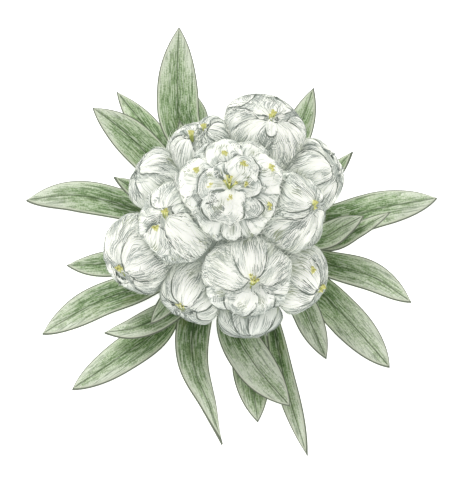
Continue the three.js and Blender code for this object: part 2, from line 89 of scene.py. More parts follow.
# %% [markdown]
# ## Writing finishes as expressions
# A finish is easier to read as arithmetic than as a drawing of wires. `Signal` wraps one
# socket and turns +, - and * into Math nodes. `Finish.node` makes any other node from its
# type, its settings and the values or signals that go into it. Colours go through Mix nodes,
# because a Math node would turn them grey.

# %% Signals
def paint(code):
    """A colour as painters pick it, #rrggbb, turned into the linear numbers of a shader."""
    shares = [int(code[i:i + 2], 16) / 255 for i in (1, 3, 5)]
    linear = [s / 12.92 if s <= 0.04045 else ((s + 0.055) / 1.055) ** 2.4 for s in shares]
    return (*linear, 1.0)


class Signal:
    """One output socket, ready for arithmetic."""

    def __init__(self, finish, socket):
        self.finish, self.socket = finish, socket

    def maths(self, operation, *values):
        return self.finish.node("Math", {"operation": operation}, dict(enumerate(values)))

    def __add__(self, other):
        return self.maths("ADD", self, other)

    def __sub__(self, other):
        return self.maths("SUBTRACT", self, other)

    def __rsub__(self, other):
        return self.maths("SUBTRACT", other, self)

    def __mul__(self, other):
        return self.maths("MULTIPLY", self, other)

    def __abs__(self):
        return self.maths("ABSOLUTE", self)

    def ramp(self, low, high):
        """0 under low and 1 over high, with a soft rise between."""
        return self.finish.node("MapRange", {"interpolation_type": "SMOOTHSTEP"},
                                {0: self, 1: low, 2: high, 3: 0.0, 4: 1.0})


print("paper white in shader numbers:", [round(x, 3) for x in paint("#fbfbfa")])

# %% Finishes
class Finish:
    """A material whose nodes are written one expression at a time."""

    def __init__(self, name):
        self.material = bpy.data.materials.new(name)
        self.material.use_nodes = True
        self.tree = self.material.node_tree
        self.tree.nodes.clear()

    def node(self, kind, settings=None, inputs=None, output=0):
        made = self.tree.nodes.new("ShaderNode" + kind)
        for name, value in (settings or {}).items():
            if name == "stops":
                elements = made.color_ramp.elements
                for i, (place, colour) in enumerate(value):
                    stop = elements[i] if i < 2 else elements.new(place)
                    stop.position, stop.color = place, paint(colour)
            else:
                setattr(made, name, value)
        for key, value in (inputs or {}).items():
            if isinstance(value, Signal):
                self.tree.links.new(value.socket, made.inputs[key])
            else:
                made.inputs[key].default_value = value
        return Signal(self, made.outputs[output] if len(made.outputs) else None)

    def attributes(self, *names):
        return [self.node("Attribute", {"attribute_name": name}, output=2) for name in names]

    def noise(self, *place, detail=2.0):
        """Noise at three lengths; the one that is multiplied least is drawn out most."""
        vector = self.node("CombineXYZ", None, dict(enumerate(place)))
        return self.node("TexNoise", None, {"Vector": vector, "Scale": 1.0, "Detail": detail})

    def shades(self, level, *stops):
        """A colour for each level, blended between stops of (level, colour)."""
        return self.node("ValToRGB", {"stops": stops}, {0: level})

    def blend(self, share, under, tint):
        """The colour under it, covered with this share of a tint."""
        return self.node("Mix", {"data_type": "RGBA"}, {0: share, 6: under, 7: paint(tint)},
                         output=2)

    def bump(self, height, distance, strength):
        return self.node("Bump", None, {"Height": height, "Distance": distance,
                                        "Strength": strength})

    def surface(self, **sockets):
        named = {name.replace("_", " "): value for name, value in sockets.items()}
        self.node("OutputMaterial", None,
                  {"Surface": self.node("BsdfPrincipled", None, named)})
        print("finish:", self.material.name, "with", len(self.tree.nodes), "nodes")
        return self.material


# %% [markdown]
# ## Meshes from tables of points
# Everything here is built from grids: a leaf is a grid rolled shut, a bract is a grid laid on
# a ball and a strand of wool is a grid of two columns. `Sheaf` collects many grids with their
# numbers for the finish, and makes them into one piece. Writing whole tables at once keeps a
# few hundred thousand faces quick.

# %% Collecting grids into one piece
def unit(vectors):
    return vectors / np.linalg.norm(vectors, axis=-1, keepdims=True)


def turns(count):
    """Even turns once round, in degrees."""
    return np.linspace(0, 360, count, endpoint=False)


class Sheaf:
    """Grids of points with named numbers at each point, gathered into one mesh."""

    def __init__(self):
        self.points, self.faces, self.numbers, self.count = [], [], {}, 0

    def add(self, grids, wrap=False, **numbers):
        """One grid (rows, columns, 3) or many of one shape, measured from the stem's axis."""
        grids = grids.reshape(-1, *grids.shape[-3:])
        shape = grids.shape[:3]
        size = math.prod(shape)
        index = self.count + np.arange(size).reshape(shape)
        if wrap:
            index = np.concatenate([index, index[:, :, :1]], axis=2)
        quads = np.stack([index[:, :-1, :-1], index[:, :-1, 1:], index[:, 1:, 1:],
                          index[:, 1:, :-1]], axis=-1)
        self.points.append((grids + STEM_AXIS).reshape(-1, 3))
        self.faces.append(quads.reshape(-1, 4))
        for name in set(self.numbers) | set(numbers):
            values = np.broadcast_to(numbers.get(name, 0.0), shape)
            self.numbers.setdefault(name, [np.zeros(self.count)] if self.count else [])
            self.numbers[name].append(values.reshape(-1))
        self.count += size

    def piece(self, node, material):
        """Make the mesh, which takes the place of this node of the faceted model."""
        points = np.concatenate(self.points) * MILLIMETRE
        faces = np.concatenate(self.faces).astype(np.int32)
        mesh = bpy.data.meshes.new(f"fine_{node}")
        mesh.vertices.add(len(points))
        mesh.vertices.foreach_set("co", points.astype(np.float32).ravel())
        mesh.loops.add(faces.size)
        mesh.loops.foreach_set("vertex_index", faces.ravel())
        mesh.polygons.add(len(faces))
        mesh.polygons.foreach_set("loop_start", np.arange(0, faces.size, 4, dtype=np.int32))
        mesh.update(calc_edges=True)
        mesh.shade_smooth()
        for title, chunks in self.numbers.items():
            layer = mesh.attributes.new(title, "FLOAT", "POINT")
            layer.data.foreach_set("value", np.concatenate(chunks).astype(np.float32))
        mesh.materials.append(material)
        made = put(f"fine_{node}", mesh)
        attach(made, "root")
        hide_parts(node)
        return 2 * len(faces)


print("a turn in eight steps:", turns(8))

# %% [markdown]
# ## Leaf finish
# A fresh leaf of this herb is grey-green and matt. It is painted darkest at its base, as the
# shade of the heads, and pales towards the tip; painted shade darkens it by the midrib and
# painted light brightens it by the margins. Fine parallel veins run lengthways as light and
# dark lines, a groove marks the midrib, and the margin is a thin cream line with a faint dark
# edge.
# The finish reads lengths that the mesh carries: how far a spot is from the midrib, from the
# margin and from the base, and how pale it should be, with the painted shade at the base in
# that. Stretched noise makes the lines, which stay sharp at any size, and each layer covers a
# share of the colour under it.

# %% Mix the leaf finish
def leaf_finish():
    leaf = Finish("leaf_green")
    side, length, inset, paling, number = leaf.attributes(
        "side_mm", "length_mm", "inset_mm", "paling", "number")
    veins = leaf.noise(side * 4.5, length * 0.16, number)
    strokes = leaf.noise(side * 7.0, length * 0.7, number * 1.7, detail=1.0)
    grain = leaf.noise(side * 5.0, length * 5.0, number * 1.3)
    clouds = leaf.noise(side * 0.5, length * 0.25, number * 2.3, detail=1.0)
    # The first two are painted shade by the midrib and painted light by the margins.
    rib_shade, margin_light = 1.0 - abs(side).ramp(0.1, 1.3), 1.0 - inset.ramp(0.2, 1.1)
    groove, margin = 1.0 - abs(side).ramp(0.03, 0.12), 1.0 - inset.ramp(0.24, 0.42)
    dark_gaps, rim = 1.0 - strokes.ramp(0.36, 0.46), 1.0 - inset.ramp(0.1, 0.17)
    light = (paling * 0.85 + (clouds - 0.5) * 0.5 + (grain - 0.5) * 1.1 - rib_shade * 0.16
             + margin_light * 0.16)
    colour = leaf.shades(light, (0.0, "#39541f"), (0.25, "#5f7d45"), (0.5, "#92ae7b"),
                         (0.75, "#c0d2ab"), (1.0, "#ebf3de"))
    for share, tint in ((veins.ramp(0.5, 0.62) * (0.75 - paling * 0.3), "#456333"),
                        (strokes.ramp(0.5, 0.62) * (paling * 0.35 + 0.25), "#e3ecd5"),
                        (dark_gaps * (0.65 - paling * 0.25), "#4a6638"),
                        (clouds.ramp(0.52, 0.72) * (1.0 - paling) * 0.4, "#8a8f4e"),
                        (groove * 0.7, "#42552f"), (margin * 0.7, "#dce2cb"),
                        (rim * 0.9, "#56604c")):
        colour = leaf.blend(share, colour, tint)
    height = veins * 0.5 + strokes * 0.25 + margin * 0.3 - groove * 0.5
    return leaf.surface(Base_Color=colour, Roughness=0.62,
                        Normal=leaf.bump(height, 0.00012, 0.4))


LEAF_GREEN = leaf_finish()

# %% [markdown]
# ## Leaves
# Each leaf follows a line of a few noted points, (bearing, reach from the stem, height of the
# underside), as in the faceted model, from a foot beside the stem in one of three tiers. Some
# leaves also note how pale they get, how full their outline is, where they are widest and how
# far they roll over towards the tip. A centripetal curve through the points gives the midrib.
# Across it the blade is a shallow channel with a groove in the middle, thick along the rib and
# thin at the margins. A flat card would lose the groove and the margins that catch light.

# %% Note the leaves: name, tier, bearing of the foot, width, special notes, line
LEAVES = [
    ("n", "middle", 96, 5.4, dict(pale=0.08),
     [(104, 8, 3), (112.8, 16.3, 4.1), (109, 21, 4.9), (103.5, 28.4, 7.5)]),
    ("n_low", "low", 76, 4, {},
     [(92, 8, 0.9), (105.6, 16.4, 0.3), (103.7, 19.5, 0), (103.5, 22.9, 0)]),
    ("n_small", "high", 112, 2.2, {},
     [(114, 7, 4.2), (115, 11, 4.7), (115, 14.4, 5.3), (113.5, 16.4, 6.6)]),
    ("nw_low", "low", 116, 3.8, {},
     [(119, 8, 0.9), (123, 15, 0.4), (123.4, 21, 0), (124.2, 26.3, 0)]),
    ("nw", "middle", 134, 5, dict(pale=0.08, roll=-6),
     [(134, 8, 2.4), (132, 15.8, 2.5), (133, 20.4, 3.2), (135, 25.1, 4.1)]),
    ("w_small", "high", 150, 2.8, dict(roll=10),
     [(152, 7, 3.9), (153.5, 11, 4.1), (153.3, 13.7, 4.4), (153.2, 16.7, 5.3)]),
    ("w", "low", 157, 4.5, dict(pale=0.12, full=0.55),
     [(157, 8, 0.9), (158, 15.6, 0.5), (160.5, 21.5, 0), (166.1, 27, 0)]),
    ("wsw", "middle", 178, 3.7, dict(full=0.6),
     [(186, 8, 2.3), (191, 13.6, 1.8), (189.5, 17.8, 1.3), (187.8, 21, 1)]),
    ("sw", "middle", 216, 4.5, dict(pale=0.1, full=0.55, roll=6),
     [(213, 7, 2.5), (209, 12.2, 2.1), (205.8, 18.8, 1.7), (207.3, 26.7, 1.1)]),
    ("sw_near", "middle", 248, 3.5, dict(pale=0.3, roll=4),
     [(240, 7, 2.6), (231, 12.7, 2.5), (224.5, 17, 2.4), (218.2, 20.2, 2.2)]),
    ("sw_small", "high", 228, 2.6, dict(pale=0.3),
     [(228, 6.5, 3.9), (229, 10.5, 4), (229.5, 13.2, 3.9), (229.6, 15.6, 3.7)]),
    ("sw_low", "low", 196, 4.5, dict(pale=0.2, full=0.55),
     [(214, 7, 0.8), (230, 14.4, 0.1), (227, 20.2, 0), (224, 27.7, 0)]),
    ("s_twisted", "low", 236, 4.4, dict(pale=0.35, full=0.9, roll=-28, widest=0.38),
     [(243, 7, 1.4), (246.8, 11.8, 1.4), (253.2, 16.6, 0.7), (262.5, 21.6, 0.1),
      (267.5, 26.6, 0)]),
    ("s_broad", "middle", 284, 5.2, dict(pale=0.5, roll=6),
     [(275, 7, 2.4), (271, 11.1, 2.3), (280, 16.8, 2.2), (288.6, 23.3, 1.8)]),
    ("s_low", "low", 276, 4.8, {},
     [(279, 7, 1), (281, 12.4, 0.9), (278.6, 17.5, 0.6), (278.2, 23.8, 0)]),
    ("s_curled", "low", 316, 2.7, dict(pale=0.35, roll=20),
     [(307, 7, 0.7), (296, 12.7, 0.1), (290.9, 19, 0), (289, 29.6, 0)]),
    ("se_small", "middle", 316, 3.6, dict(pale=0.4),
     [(316, 7, 2.4), (315.5, 12.6, 2.3), (311.5, 15.5, 2), (307.4, 19.8, 1.6)]),
    ("se", "low", 352, 4.9, dict(pale=0.4, full=0.55),
     [(343, 7, 0.9), (330.4, 13.5, 0.3), (325.7, 18.5, 0), (320.9, 25.8, 0)]),
    ("ese", "middle", 344, 4.1, dict(pale=0.3, full=0.6),
     [(346, 7, 2.1), (346, 13.5, 1.9), (345.3, 18.5, 1.7), (340.7, 24.2, 1.3)]),
    ("e_long", "low", 28, 5, dict(pale=0.12, full=0.55),
     [(22, 8, 0.9), (15, 14.4, 0.3), (15.8, 19.5, 0), (14.4, 27.3, 0)]),
    ("e_folded", "middle", 12, 2.2, dict(pale=0.1, roll=12),
     [(5, 7, 2.9), (357, 12.7, 3.2), (3.8, 16, 3.2), (10.3, 20.7, 3.1)]),
    ("e_top", "high", 352, 3.5, dict(pale=0.35),
     [(355, 6.5, 4.2), (357.6, 11.6, 4.7), (4.1, 14.5, 4.9), (7.8, 17, 5)]),
    ("ene_small", "middle", 40, 2.7, dict(roll=-8),
     [(38, 8, 2.5), (35.5, 12.5, 2.5), (35, 15.9, 2.8), (36.2, 19.4, 4.4)]),
    ("ne", "middle", 68, 3.9, {},
     [(63, 8, 2.6), (59, 14, 2.5), (60.5, 18.5, 3.2), (62.1, 22.8, 5.1)]),
]
print("leaves:", len(LEAVES))

# %% Lines for the leaves
LEAF_TIP_LENGTH = 0.08           # as a share of the leaf's length


def polar(bearing, reach, height):
    angle = math.radians(bearing)
    return np.array([reach * math.cos(angle), reach * math.sin(angle), height])


def centripetal_curve(knots, steps=60):
    """Closely spaced points on the smooth curve through the knots."""
    knots = [2 * knots[0] - knots[1], *knots, 2 * knots[-1] - knots[-2]]
    pieces = []
    for a, b, c, d in zip(knots, knots[1:], knots[2:], knots[3:]):
        near, span, far = (np.linalg.norm(q - p) ** 0.5 for p, q in ((a, b), (b, c), (c, d)))
        leave = ((b - a) / near - (c - a) / (near + span) + (c - b) / span) * span
        arrive = ((c - b) / span - (d - b) / (span + far) + (d - c) / far) * span
        t = np.linspace(0, 1, steps, endpoint=False)[:, None]
        pieces.append(b + leave * t + (3 * (c - b) - 2 * leave - arrive) * t ** 2
                      + (2 * (b - c) + leave + arrive) * t ** 3)
    return np.concatenate([*pieces, knots[-2][None]])


def evenly_along(points, shares):
    """Points and directions at even shares of a line's length."""
    steps = np.linalg.norm(np.diff(points, axis=0), axis=1)
    travelled = np.concatenate([[0], np.cumsum(steps)]) / steps.sum()
    at = np.stack([np.interp(shares, travelled, points[:, k]) for k in range(3)], axis=1)
    return at, unit(np.gradient(at, axis=0))


def lance_width(along, widest, full):
    stretched = along ** (math.log(0.5) / math.log(widest))
    swell = np.sin(np.pi * np.clip(stretched, 0, 1)) ** full
    return swell * (1 - np.exp(-(1 - along) / LEAF_TIP_LENGTH)) ** 0.35


print("half way, an even leaf has this share of its width:", round(lance_width(0.5, 0.5, 1), 2))

# %% Build the leaves
LEAF_TIERS = {"low": 1.5, "middle": 2.7, "high": 3.9}
LEAF_FOOT_REACH, LEAF_FOOT_WIDTH = 2.4, 0.95
LEAF_STATIONS, LEAF_COLUMNS = 56, 19
LEAF_THICKNESS, GROOVE_DEPTH = 0.42, 0.13
LEAF_CHANNEL = 0.07              # how far the margins rise, as a share of the width
LEAF_FLAT_BELOW = 0.6            # the channel flattens out under this height
LEAF_WAVE = 0.05                 # how far the margins wave, as a share of half the width


def leaf_blade(tier, foot, width, path, pale=0.0, full=0.65, roll=0, widest=0.64):
    """A closed ring of points at each station of the blade, and its numbers."""
    foot = polar(foot, LEAF_FOOT_REACH, LEAF_TIERS[tier])
    line = centripetal_curve([foot, *(polar(*knot) for knot in path)])
    along = np.linspace(0, 1, LEAF_STATIONS)[:, None]
    middle, ahead = evenly_along(line, along[:, 0])
    side = unit(np.cross([0, 0, 1], ahead))
    turn, up = np.radians(roll) * along ** 2, np.cross(ahead, side)
    side, up = (side * np.cos(turn) + up * np.sin(turn),
                up * np.cos(turn) - side * np.sin(turn))
    wide = lance_width(np.minimum(along, 0.9995), widest, full) * width
    wide = np.maximum(LEAF_FOOT_WIDTH * (1 - along), wide)

    across = np.sin(np.linspace(-1, 1, LEAF_COLUMNS) * np.pi / 2)
    channel = LEAF_CHANNEL * wide * np.clip(middle[:, 2:] / LEAF_FLAT_BELOW, 0, 1)
    wave = np.sin(along * rng.uniform(14, 20) + rng.uniform(0, 6))
    wave = LEAF_WAVE * wave * np.sin(np.pi * along)
    lift = channel * across ** 2 + wave * across * wide / 2
    groove = GROOVE_DEPTH * np.exp(-(across / 0.07) ** 2) * np.sin(np.pi * along)
    thick = LEAF_THICKNESS * (1 - 0.72 * np.abs(across) ** 4) - groove
    low = (middle[:, None] + (-across * wide / 2)[..., None] * side[:, None]
           + lift[..., None] * up[:, None])
    low[..., 2] = np.maximum(low[..., 2], 0.02)
    ring = np.concatenate([low + thick[..., None] * up[:, None], low[:, ::-1]], axis=1)

    rib = np.concatenate([across, across[::-1]])
    length = np.concatenate([[0], np.cumsum(np.linalg.norm(np.diff(middle, axis=0), axis=1))])
    reach = np.linalg.norm(middle[:, :2], axis=1, keepdims=True)
    # Low values are painted shade near the stem, under the heads; high ones are the paler tip.
    paling = (0.25 * np.clip((reach - 11) / 13, 0, 1)
              + 0.75 * np.clip((along - 0.32) / 0.6, 0, 1)
              + pale * np.clip((along - 0.2) / 0.4, 0, 1))
    return ring, dict(side_mm=rib * wide / 2, inset_mm=(1 - np.abs(rib)) * wide / 2,
                      length_mm=length[:, None], paling=np.clip(paling, 0, 1.1))


for order, (name, *sizes, special, path) in enumerate(LEAVES):
    blade = Sheaf()
    ring, numbers = leaf_blade(*sizes, path, **special)
    blade.add(ring, wrap=True, number=order * 3.7, **numbers)
    blade.piece(f"leaf_{name}", LEAF_GREEN)
print("leaves built:", len(LEAVES))

# %% [markdown]
# ## Wool finish
# The wool of the heads is off-white. Fine grey and grey-green lines follow the way the hairs
# lie, and the folds between bracts are painted darker, as shade. The mesh carries tone, how
# light a spot is with its painted shade, and moss, how green its shade is; flow_across and
# flow_along follow the hairs, so stretched noise can draw the finest lines. Hair curves would
# be lost on export, so the bigger strands are real ribbons that share this finish.

# %% Mix the wool finish
PAINTED_GLOW = 0.25                 # painted glow of the wool and florets, which lifts the shade in their folds


def wool_finish():
    wool = Finish("off_white_wool")
    tone, moss, inset, number, across, along = wool.attributes(
        "tone", "moss", "inset_mm", "number", "flow_across", "flow_along")
    lines = wool.noise(across * 3.2, along * 0.45, number)
    gaps_between = wool.noise(across * 0.9, along * 0.9, number + 7.0, detail=1.0)
    pencil = (1.0 - inset.ramp(0.08, 0.19)) * gaps_between.ramp(0.34, 0.5)
    grey = wool.shades(tone - lines.ramp(0.5, 0.66) * 0.3 - pencil * 0.75,
                       (0.0, "#4b5450"), (0.25, "#828b86"), (0.5, "#b9bfb9"),
                       (0.75, "#e4e7e0"), (1.0, "#f8f8f2"))
    colour = wool.blend(moss * (lines.ramp(0.4, 0.6) * 0.55 + 0.3), grey, "#8d9673")
    # The emission is a painted glow that lifts the shade in the folds.
    return wool.surface(Base_Color=colour, Roughness=0.95, Emission_Color=colour,
                        Emission_Strength=PAINTED_GLOW, Normal=wool.bump(lines, 0.00008, 0.3))


WOOL = wool_finish()

# %% [markdown]
# ## Head directions
# A head is a ball of bracts round its mouth. A place on it is a clock angle round the mouth and
# an angle away from it, the way one would describe it while looking into the flower. Each
# bract is a patch of that ball, so the same two angles give both its place and its grain. A
# bract is noted as (clock, where it starts, where it ends, half its width, how high it stands)
# and, where it matters, how far its middle bends aside. Most start low on the side and end at
# the mouth. Those that start at the mouth are small rounded lobes that hang outwards, as on
# the crowded head in the middle. Florets are noted as (clock, angle from the mouth, width).

# %% Note the heads: name, centre, bearing, rise, radius, bracts, florets, shade, hatching
HEADS = [
    ("crown", (0, -0.2, 19.9), 266, 73, 6.2, [
        (103, 3, 40, 21, 0.97), (180, 3, 50, 25, 0.975), (-94, 3, 40, 16, 0.965),
        (-38, 4, 47, 20, 0.97), (26, 3, 31, 16, 0.965), (141, 10, 51, 20, 0.955),
        (-136, 12, 52, 18, 0.95), (8, 22, 84, 24, 0.95), (64, 22, 92, 24, 0.945),
        (107, 32, 100, 22, 0.935), (146, 40, 104, 20, 0.93), (186, 46, 80, 11, 0.95),
        (-160, 42, 104, 20, 0.93), (-118, 30, 98, 26, 0.94), (-71, 28, 94, 25, 0.94),
        (37, 46, 104, 22, 0.91), (86, 50, 104, 20, 0.91), (127, 56, 108, 20, 0.91),
        (166, 60, 112, 20, 0.91), (-139, 56, 108, 20, 0.91), (-95, 50, 104, 20, 0.91),
        (-32, 44, 100, 22, 0.915),
    ], [
        (0, 0, 1.5), (11, 38, 0.9), (-37, 27, 1), (-68, 57, 0.9), (-122, 54, 1.1),
        (180, 19.5, 0.9), (-99, 18.5, 0.8), (102, 22.5, 0.9), (69, 44, 0.8),
    ]),
    ("left", (-6.1, -3.1, 16.3), 205, 66, 4.8, [
        (-138, 104, 6, 35, 0.965, 8), (10, 92, 8, 36, 0.96, -6), (143, 76, 20, 22, 0.958),
        (-62, 98, 9, 32, 0.95, 12), (-98, 106, 16, 27, 0.955, 10), (72, 84, 8, 32, 0.945),
        (112, 104, 36, 28, 0.93), (170, 106, 40, 28, 0.94), (-155, 112, 46, 28, 0.935, 12),
        (44, 112, 44, 30, 0.92), (-22, 112, 46, 30, 0.925), (-78, 114, 50, 28, 0.925, 12),
        (-116, 116, 54, 28, 0.925, 12),
    ], [(0, 0, 1.2), (143, 29, 0.9)]),
    ("front", (1.9, -8.7, 14), 285, 52, 5.25, [
        (6, 84, 3, 22, 0.974, 0), (70, 92, 5, 33, 0.966, -6), (-52, 92, 5, 34, 0.962, 8),
        (-96, 98, 14, 26, 0.946, 10), (104, 98, 18, 24, 0.94, -10), (122, 24, 84, 20, 0.95),
        (160, 12, 62, 22, 0.956), (-155, 14, 62, 22, 0.95), (-118, 22, 78, 22, 0.945),
        (-178, 40, 86, 20, 0.932), (140, 46, 92, 18, 0.93), (-138, 46, 90, 20, 0.926),
        (38, 112, 46, 32, 0.922), (-24, 112, 46, 32, 0.922), (88, 114, 48, 28, 0.92),
        (-80, 114, 48, 28, 0.92),
    ], [(0, 0, 1.4)]),
    ("right", (6.6, -1.9, 16.3), 352, 41, 4.9, [
        (84, 108, 6, 30, 0.968, -10), (36, 64, 4, 29, 0.974, 12), (-16, 72, 9, 34, 0.955),
        (134, 104, 10, 25, 0.957, -8), (168, 104, 8, 23, 0.962, -6), (-144, 100, 6, 27, 0.957),
        (-80, 84, 14, 34, 0.94), (112, 114, 36, 25, 0.936, -10), (62, 112, 42, 27, 0.93, -8),
        (20, 112, 46, 29, 0.922), (150, 116, 42, 25, 0.922), (-30, 110, 54, 34, 0.914),
    ], [(0, 0, 1.3)]),
    ("back_right", (3.8, 8.9, 16), 12, 75, 5, [
        (172, 4, 30, 9, 0.985, 0), (146, 96, 8, 28, 0.966, -8), (-152, 96, 9, 29, 0.962, 8),
        (104, 100, 18, 24, 0.951, -10), (70, 92, 7, 27, 0.943, -14), (4, 88, 1, 50, 0.949, 0),
        (-74, 94, 8, 27, 0.946, 14), (-112, 102, 24, 24, 0.954, 10),
        (88, 114, 46, 24, 0.93, -10), (44, 108, 40, 26, 0.955, -10), (-6, 108, 46, 28, 0.96, 6),
        (-50, 112, 40, 25, 0.953, 10), (-88, 114, 48, 24, 0.928), (128, 118, 54, 26, 0.92),
        (180, 118, 44, 24, 0.93), (-134, 118, 56, 26, 0.916),
    ], [(0, 0, 1.1)], -0.13, 1.4),
    ("back", (-1.6, 7.3, 15.6), 149, 59, 3.5, [
        (-140, 98, 8, 28, 0.955), (-98, 100, 7, 28, 0.965, 10), (-52, 102, 12, 28, 0.945),
        (-4, 102, 10, 32, 0.94), (56, 104, 12, 36, 0.93), (112, 104, 12, 36, 0.94),
        (164, 102, 10, 30, 0.95), (-76, 112, 44, 26, 0.93), (-122, 114, 44, 26, 0.93),
    ], [(0, 0, 0.9)]),
    ("back_left", (-4.2, 6.3, 15.2), 117, 64, 3.2, [
        (172, 100, 7, 33, 0.968, 0), (124, 106, 12, 28, 0.945), (82, 104, 14, 32, 0.93),
        (-142, 108, 14, 28, 0.945, 10), (-104, 106, 12, 30, 0.94), (-58, 104, 12, 34, 0.93),
        (22, 5, 42, 15, 0.972), (-20, 5, 38, 14, 0.965), (30, 104, 10, 36, 0.935),
        (148, 114, 50, 26, 0.92), (-160, 116, 50, 26, 0.92),
    ], [(0, 0, 0.9)]),
    ("upper_left", (-8.7, 3.6, 13), 163, 36, 3.8, [
        (-66, 112, 5, 34, 0.962, 12), (-122, 110, 9, 30, 0.957, 8),
        (-20, 108, 22, 31, 0.943, 10), (26, 106, 20, 32, 0.935), (170, 106, 16, 34, 0.944),
        (120, 104, 18, 34, 0.93), (74, 104, 18, 34, 0.93), (-92, 116, 40, 28, 0.935, 8),
        (-40, 118, 44, 28, 0.93, 8), (-142, 116, 40, 28, 0.932, 6), (4, 116, 46, 28, 0.92),
    ], []),
    ("lower_right", (7.9, -7.8, 10), 323, 18, 4.2, [
        (70, 110, 7, 27, 0.966, -10), (33, 108, 10, 23, 0.957, -6), (-2, 104, 8, 24, 0.95),
        (118, 108, 8, 24, 0.955, -6), (-50, 104, 10, 34, 0.94), (-120, 104, 10, 40, 0.93),
        (160, 108, 14, 30, 0.942), (94, 114, 40, 24, 0.935, -8), (52, 116, 44, 24, 0.928, -6),
        (140, 116, 42, 25, 0.922), (16, 114, 42, 23, 0.922),
    ], [(0, 0, 1.1), (46, 40, 0.8)]),
    ("far_right", (9.9, 4.8, 11.9), 7, 45, 4.4, [
        (104, 108, 8, 32, 0.966, -14), (56, 110, 18, 28, 0.958, -12),
        (152, 104, 16, 27, 0.956, -8), (24, 108, 36, 25, 0.943, -8), (-24, 104, 32, 27, 0.938),
        (-170, 104, 26, 26, 0.942), (-76, 104, 22, 34, 0.93), (-126, 106, 24, 30, 0.932),
        (88, 116, 44, 25, 0.935, -12), (44, 116, 48, 26, 0.926, -10),
        (132, 116, 44, 25, 0.928, -8), (176, 116, 46, 24, 0.92),
    ], []),
    ("lower_left", (-4.2, -8.9, 9.2), 240, 23, 4.25, [
        (8, 110, 6, 27, 0.961, 4), (-38, 110, 5, 27, 0.966, 8), (-84, 108, 12, 27, 0.955, 14),
        (-122, 100, 26, 26, 0.946, 12), (46, 108, 24, 24, 0.942), (92, 104, 18, 33, 0.936),
        (-160, 88, 18, 30, 0.942), (138, 98, 18, 34, 0.932), (-58, 116, 46, 22, 0.93, 8),
        (-104, 112, 46, 23, 0.922, 10), (-16, 116, 46, 22, 0.926),
    ], [(0, 0, 1.2)]),
    ("far_left", (-11.2, -4.6, 10.4), 235, 26, 4.9, [
        (0, 112, 10, 40, 0.958, -8), (-80, 112, 7, 38, 0.966, 10),
        (-138, 106, 22, 30, 0.951, 12), (48, 108, 30, 28, 0.942), (96, 100, 20, 34, 0.932),
        (-178, 102, 24, 30, 0.936), (148, 98, 20, 34, 0.926), (-30, 118, 50, 26, 0.945),
        (-70, 118, 46, 24, 0.93, 8), (-112, 116, 44, 25, 0.932, 10), (-158, 112, 44, 26, 0.922),
    ], [(0, 0, 1.1)], -0.04),
    ("low_front", (2.2, -11, 8.3), 274, 2, 4, [
        (28, 112, 4, 24, 0.962, -8), (-30, 112, 5, 24, 0.967, 8), (68, 112, 10, 24, 0.946, -8),
        (-68, 112, 10, 24, 0.946, 8), (0, 116, 40, 20, 0.95), (104, 108, 12, 28, 0.932),
        (-104, 108, 12, 28, 0.932), (152, 104, 10, 34, 0.922), (-152, 104, 10, 34, 0.922),
        (48, 118, 46, 20, 0.93), (-50, 118, 46, 20, 0.93),
    ], [], 0.17),
    ("hidden_right", (4.4, 9.4, 9.3), 65, 20, 3.8, [
        (0, 112, 6, 48, 0.95), (88, 110, 8, 48, 0.93), (-88, 110, 8, 48, 0.93),
        (178, 108, 8, 46, 0.92),
    ], []),
    ("hidden_left", (-4.2, 9.2, 9.6), 115, 20, 3.7, [
        (0, 112, 6, 48, 0.95), (88, 110, 8, 48, 0.93), (-88, 110, 8, 48, 0.93),
        (178, 108, 8, 46, 0.92),
    ], []),
]
print("heads:", len(HEADS), "bracts:", sum(len(head[5]) for head in HEADS))

# %% Directions on a head
TWELVE_OCLOCK = np.array([0.0, 0.927, 0.375])   # up, as the picture shows it


class Head:
    """A head's centre, axes and size, and the way from its angles to directions and back."""

    def __init__(self, name, at, bearing, rise, radius, bracts, florets, shade=0.0, hatch=1.0):
        self.name, self.radius, self.shade, self.hatch = name, radius, shade, hatch
        self.bract_notes = sorted(bracts, key=lambda note: note[4])
        self.florets, self.bracts = florets, []
        self.centre = np.array(at, float)
        bearing, rise = math.radians(bearing), math.radians(rise)
        self.mouth = np.array([math.cos(bearing) * math.cos(rise),
                               math.sin(bearing) * math.cos(rise), math.sin(rise)])
        self.twelve = unit(TWELVE_OCLOCK - (TWELVE_OCLOCK @ self.mouth) * self.mouth)
        self.nine = np.cross(self.mouth, self.twelve)

    def axes(self, clock):
        turn = np.radians(clock)[..., None]
        return (np.cos(turn) * self.twelve + np.sin(turn) * self.nine,
                np.cos(turn) * self.nine - np.sin(turn) * self.twelve)

    def direction(self, clock, lean, aside):
        outward, across = self.axes(clock)
        lean, aside = np.radians(lean)[..., None], np.radians(aside)[..., None]
        forward = np.cos(lean) * self.mouth + np.sin(lean) * outward
        return forward * np.cos(aside) + np.sin(aside) * across

    def angles(self, clock, directions):
        """The angle from the mouth and the angle aside, as a bract at this clock sees them."""
        outward, across = self.axes(clock)
        lean = np.degrees(np.arctan2(directions @ outward, directions @ self.mouth))
        return lean, np.degrees(np.arcsin(np.clip(directions @ across, -1, 1)))


heads = [Head(*note) for note in HEADS]
for order, head in enumerate(heads):
    head.above, head.others = heads[:order], heads[:order] + heads[order + 1:]
print("mouths face", [tuple(head.mouth.round(1)) for head in heads[:3]])

# %% [markdown]
# ## Layering the bracts
# The bracts lap over each other, the ones at the mouth and in front on top. Their heights are
# worked out from the lowest up: each bract takes its own plump form or lies on whatever is
# already there, whichever is higher. That keeps every front outline whole, as in the flower,
# where a sculpted ball would blur it. Its outline and its plump form are smooth lines through
# a few noted values, and soft pleats run along it.

# %% Outline and plump form of a bract
def eased(places, values, reach):
    """A table of a smooth line through noted values, for places from 0 to 1."""
    fine = np.linspace(0, 1, 161)
    window = np.hanning(2 * reach + 1)
    padded = np.pad(np.interp(fine, places, values), reach, mode="reflect",
                    reflect_type="odd")
    return fine, np.convolve(padded, window / window.sum(), "valid")


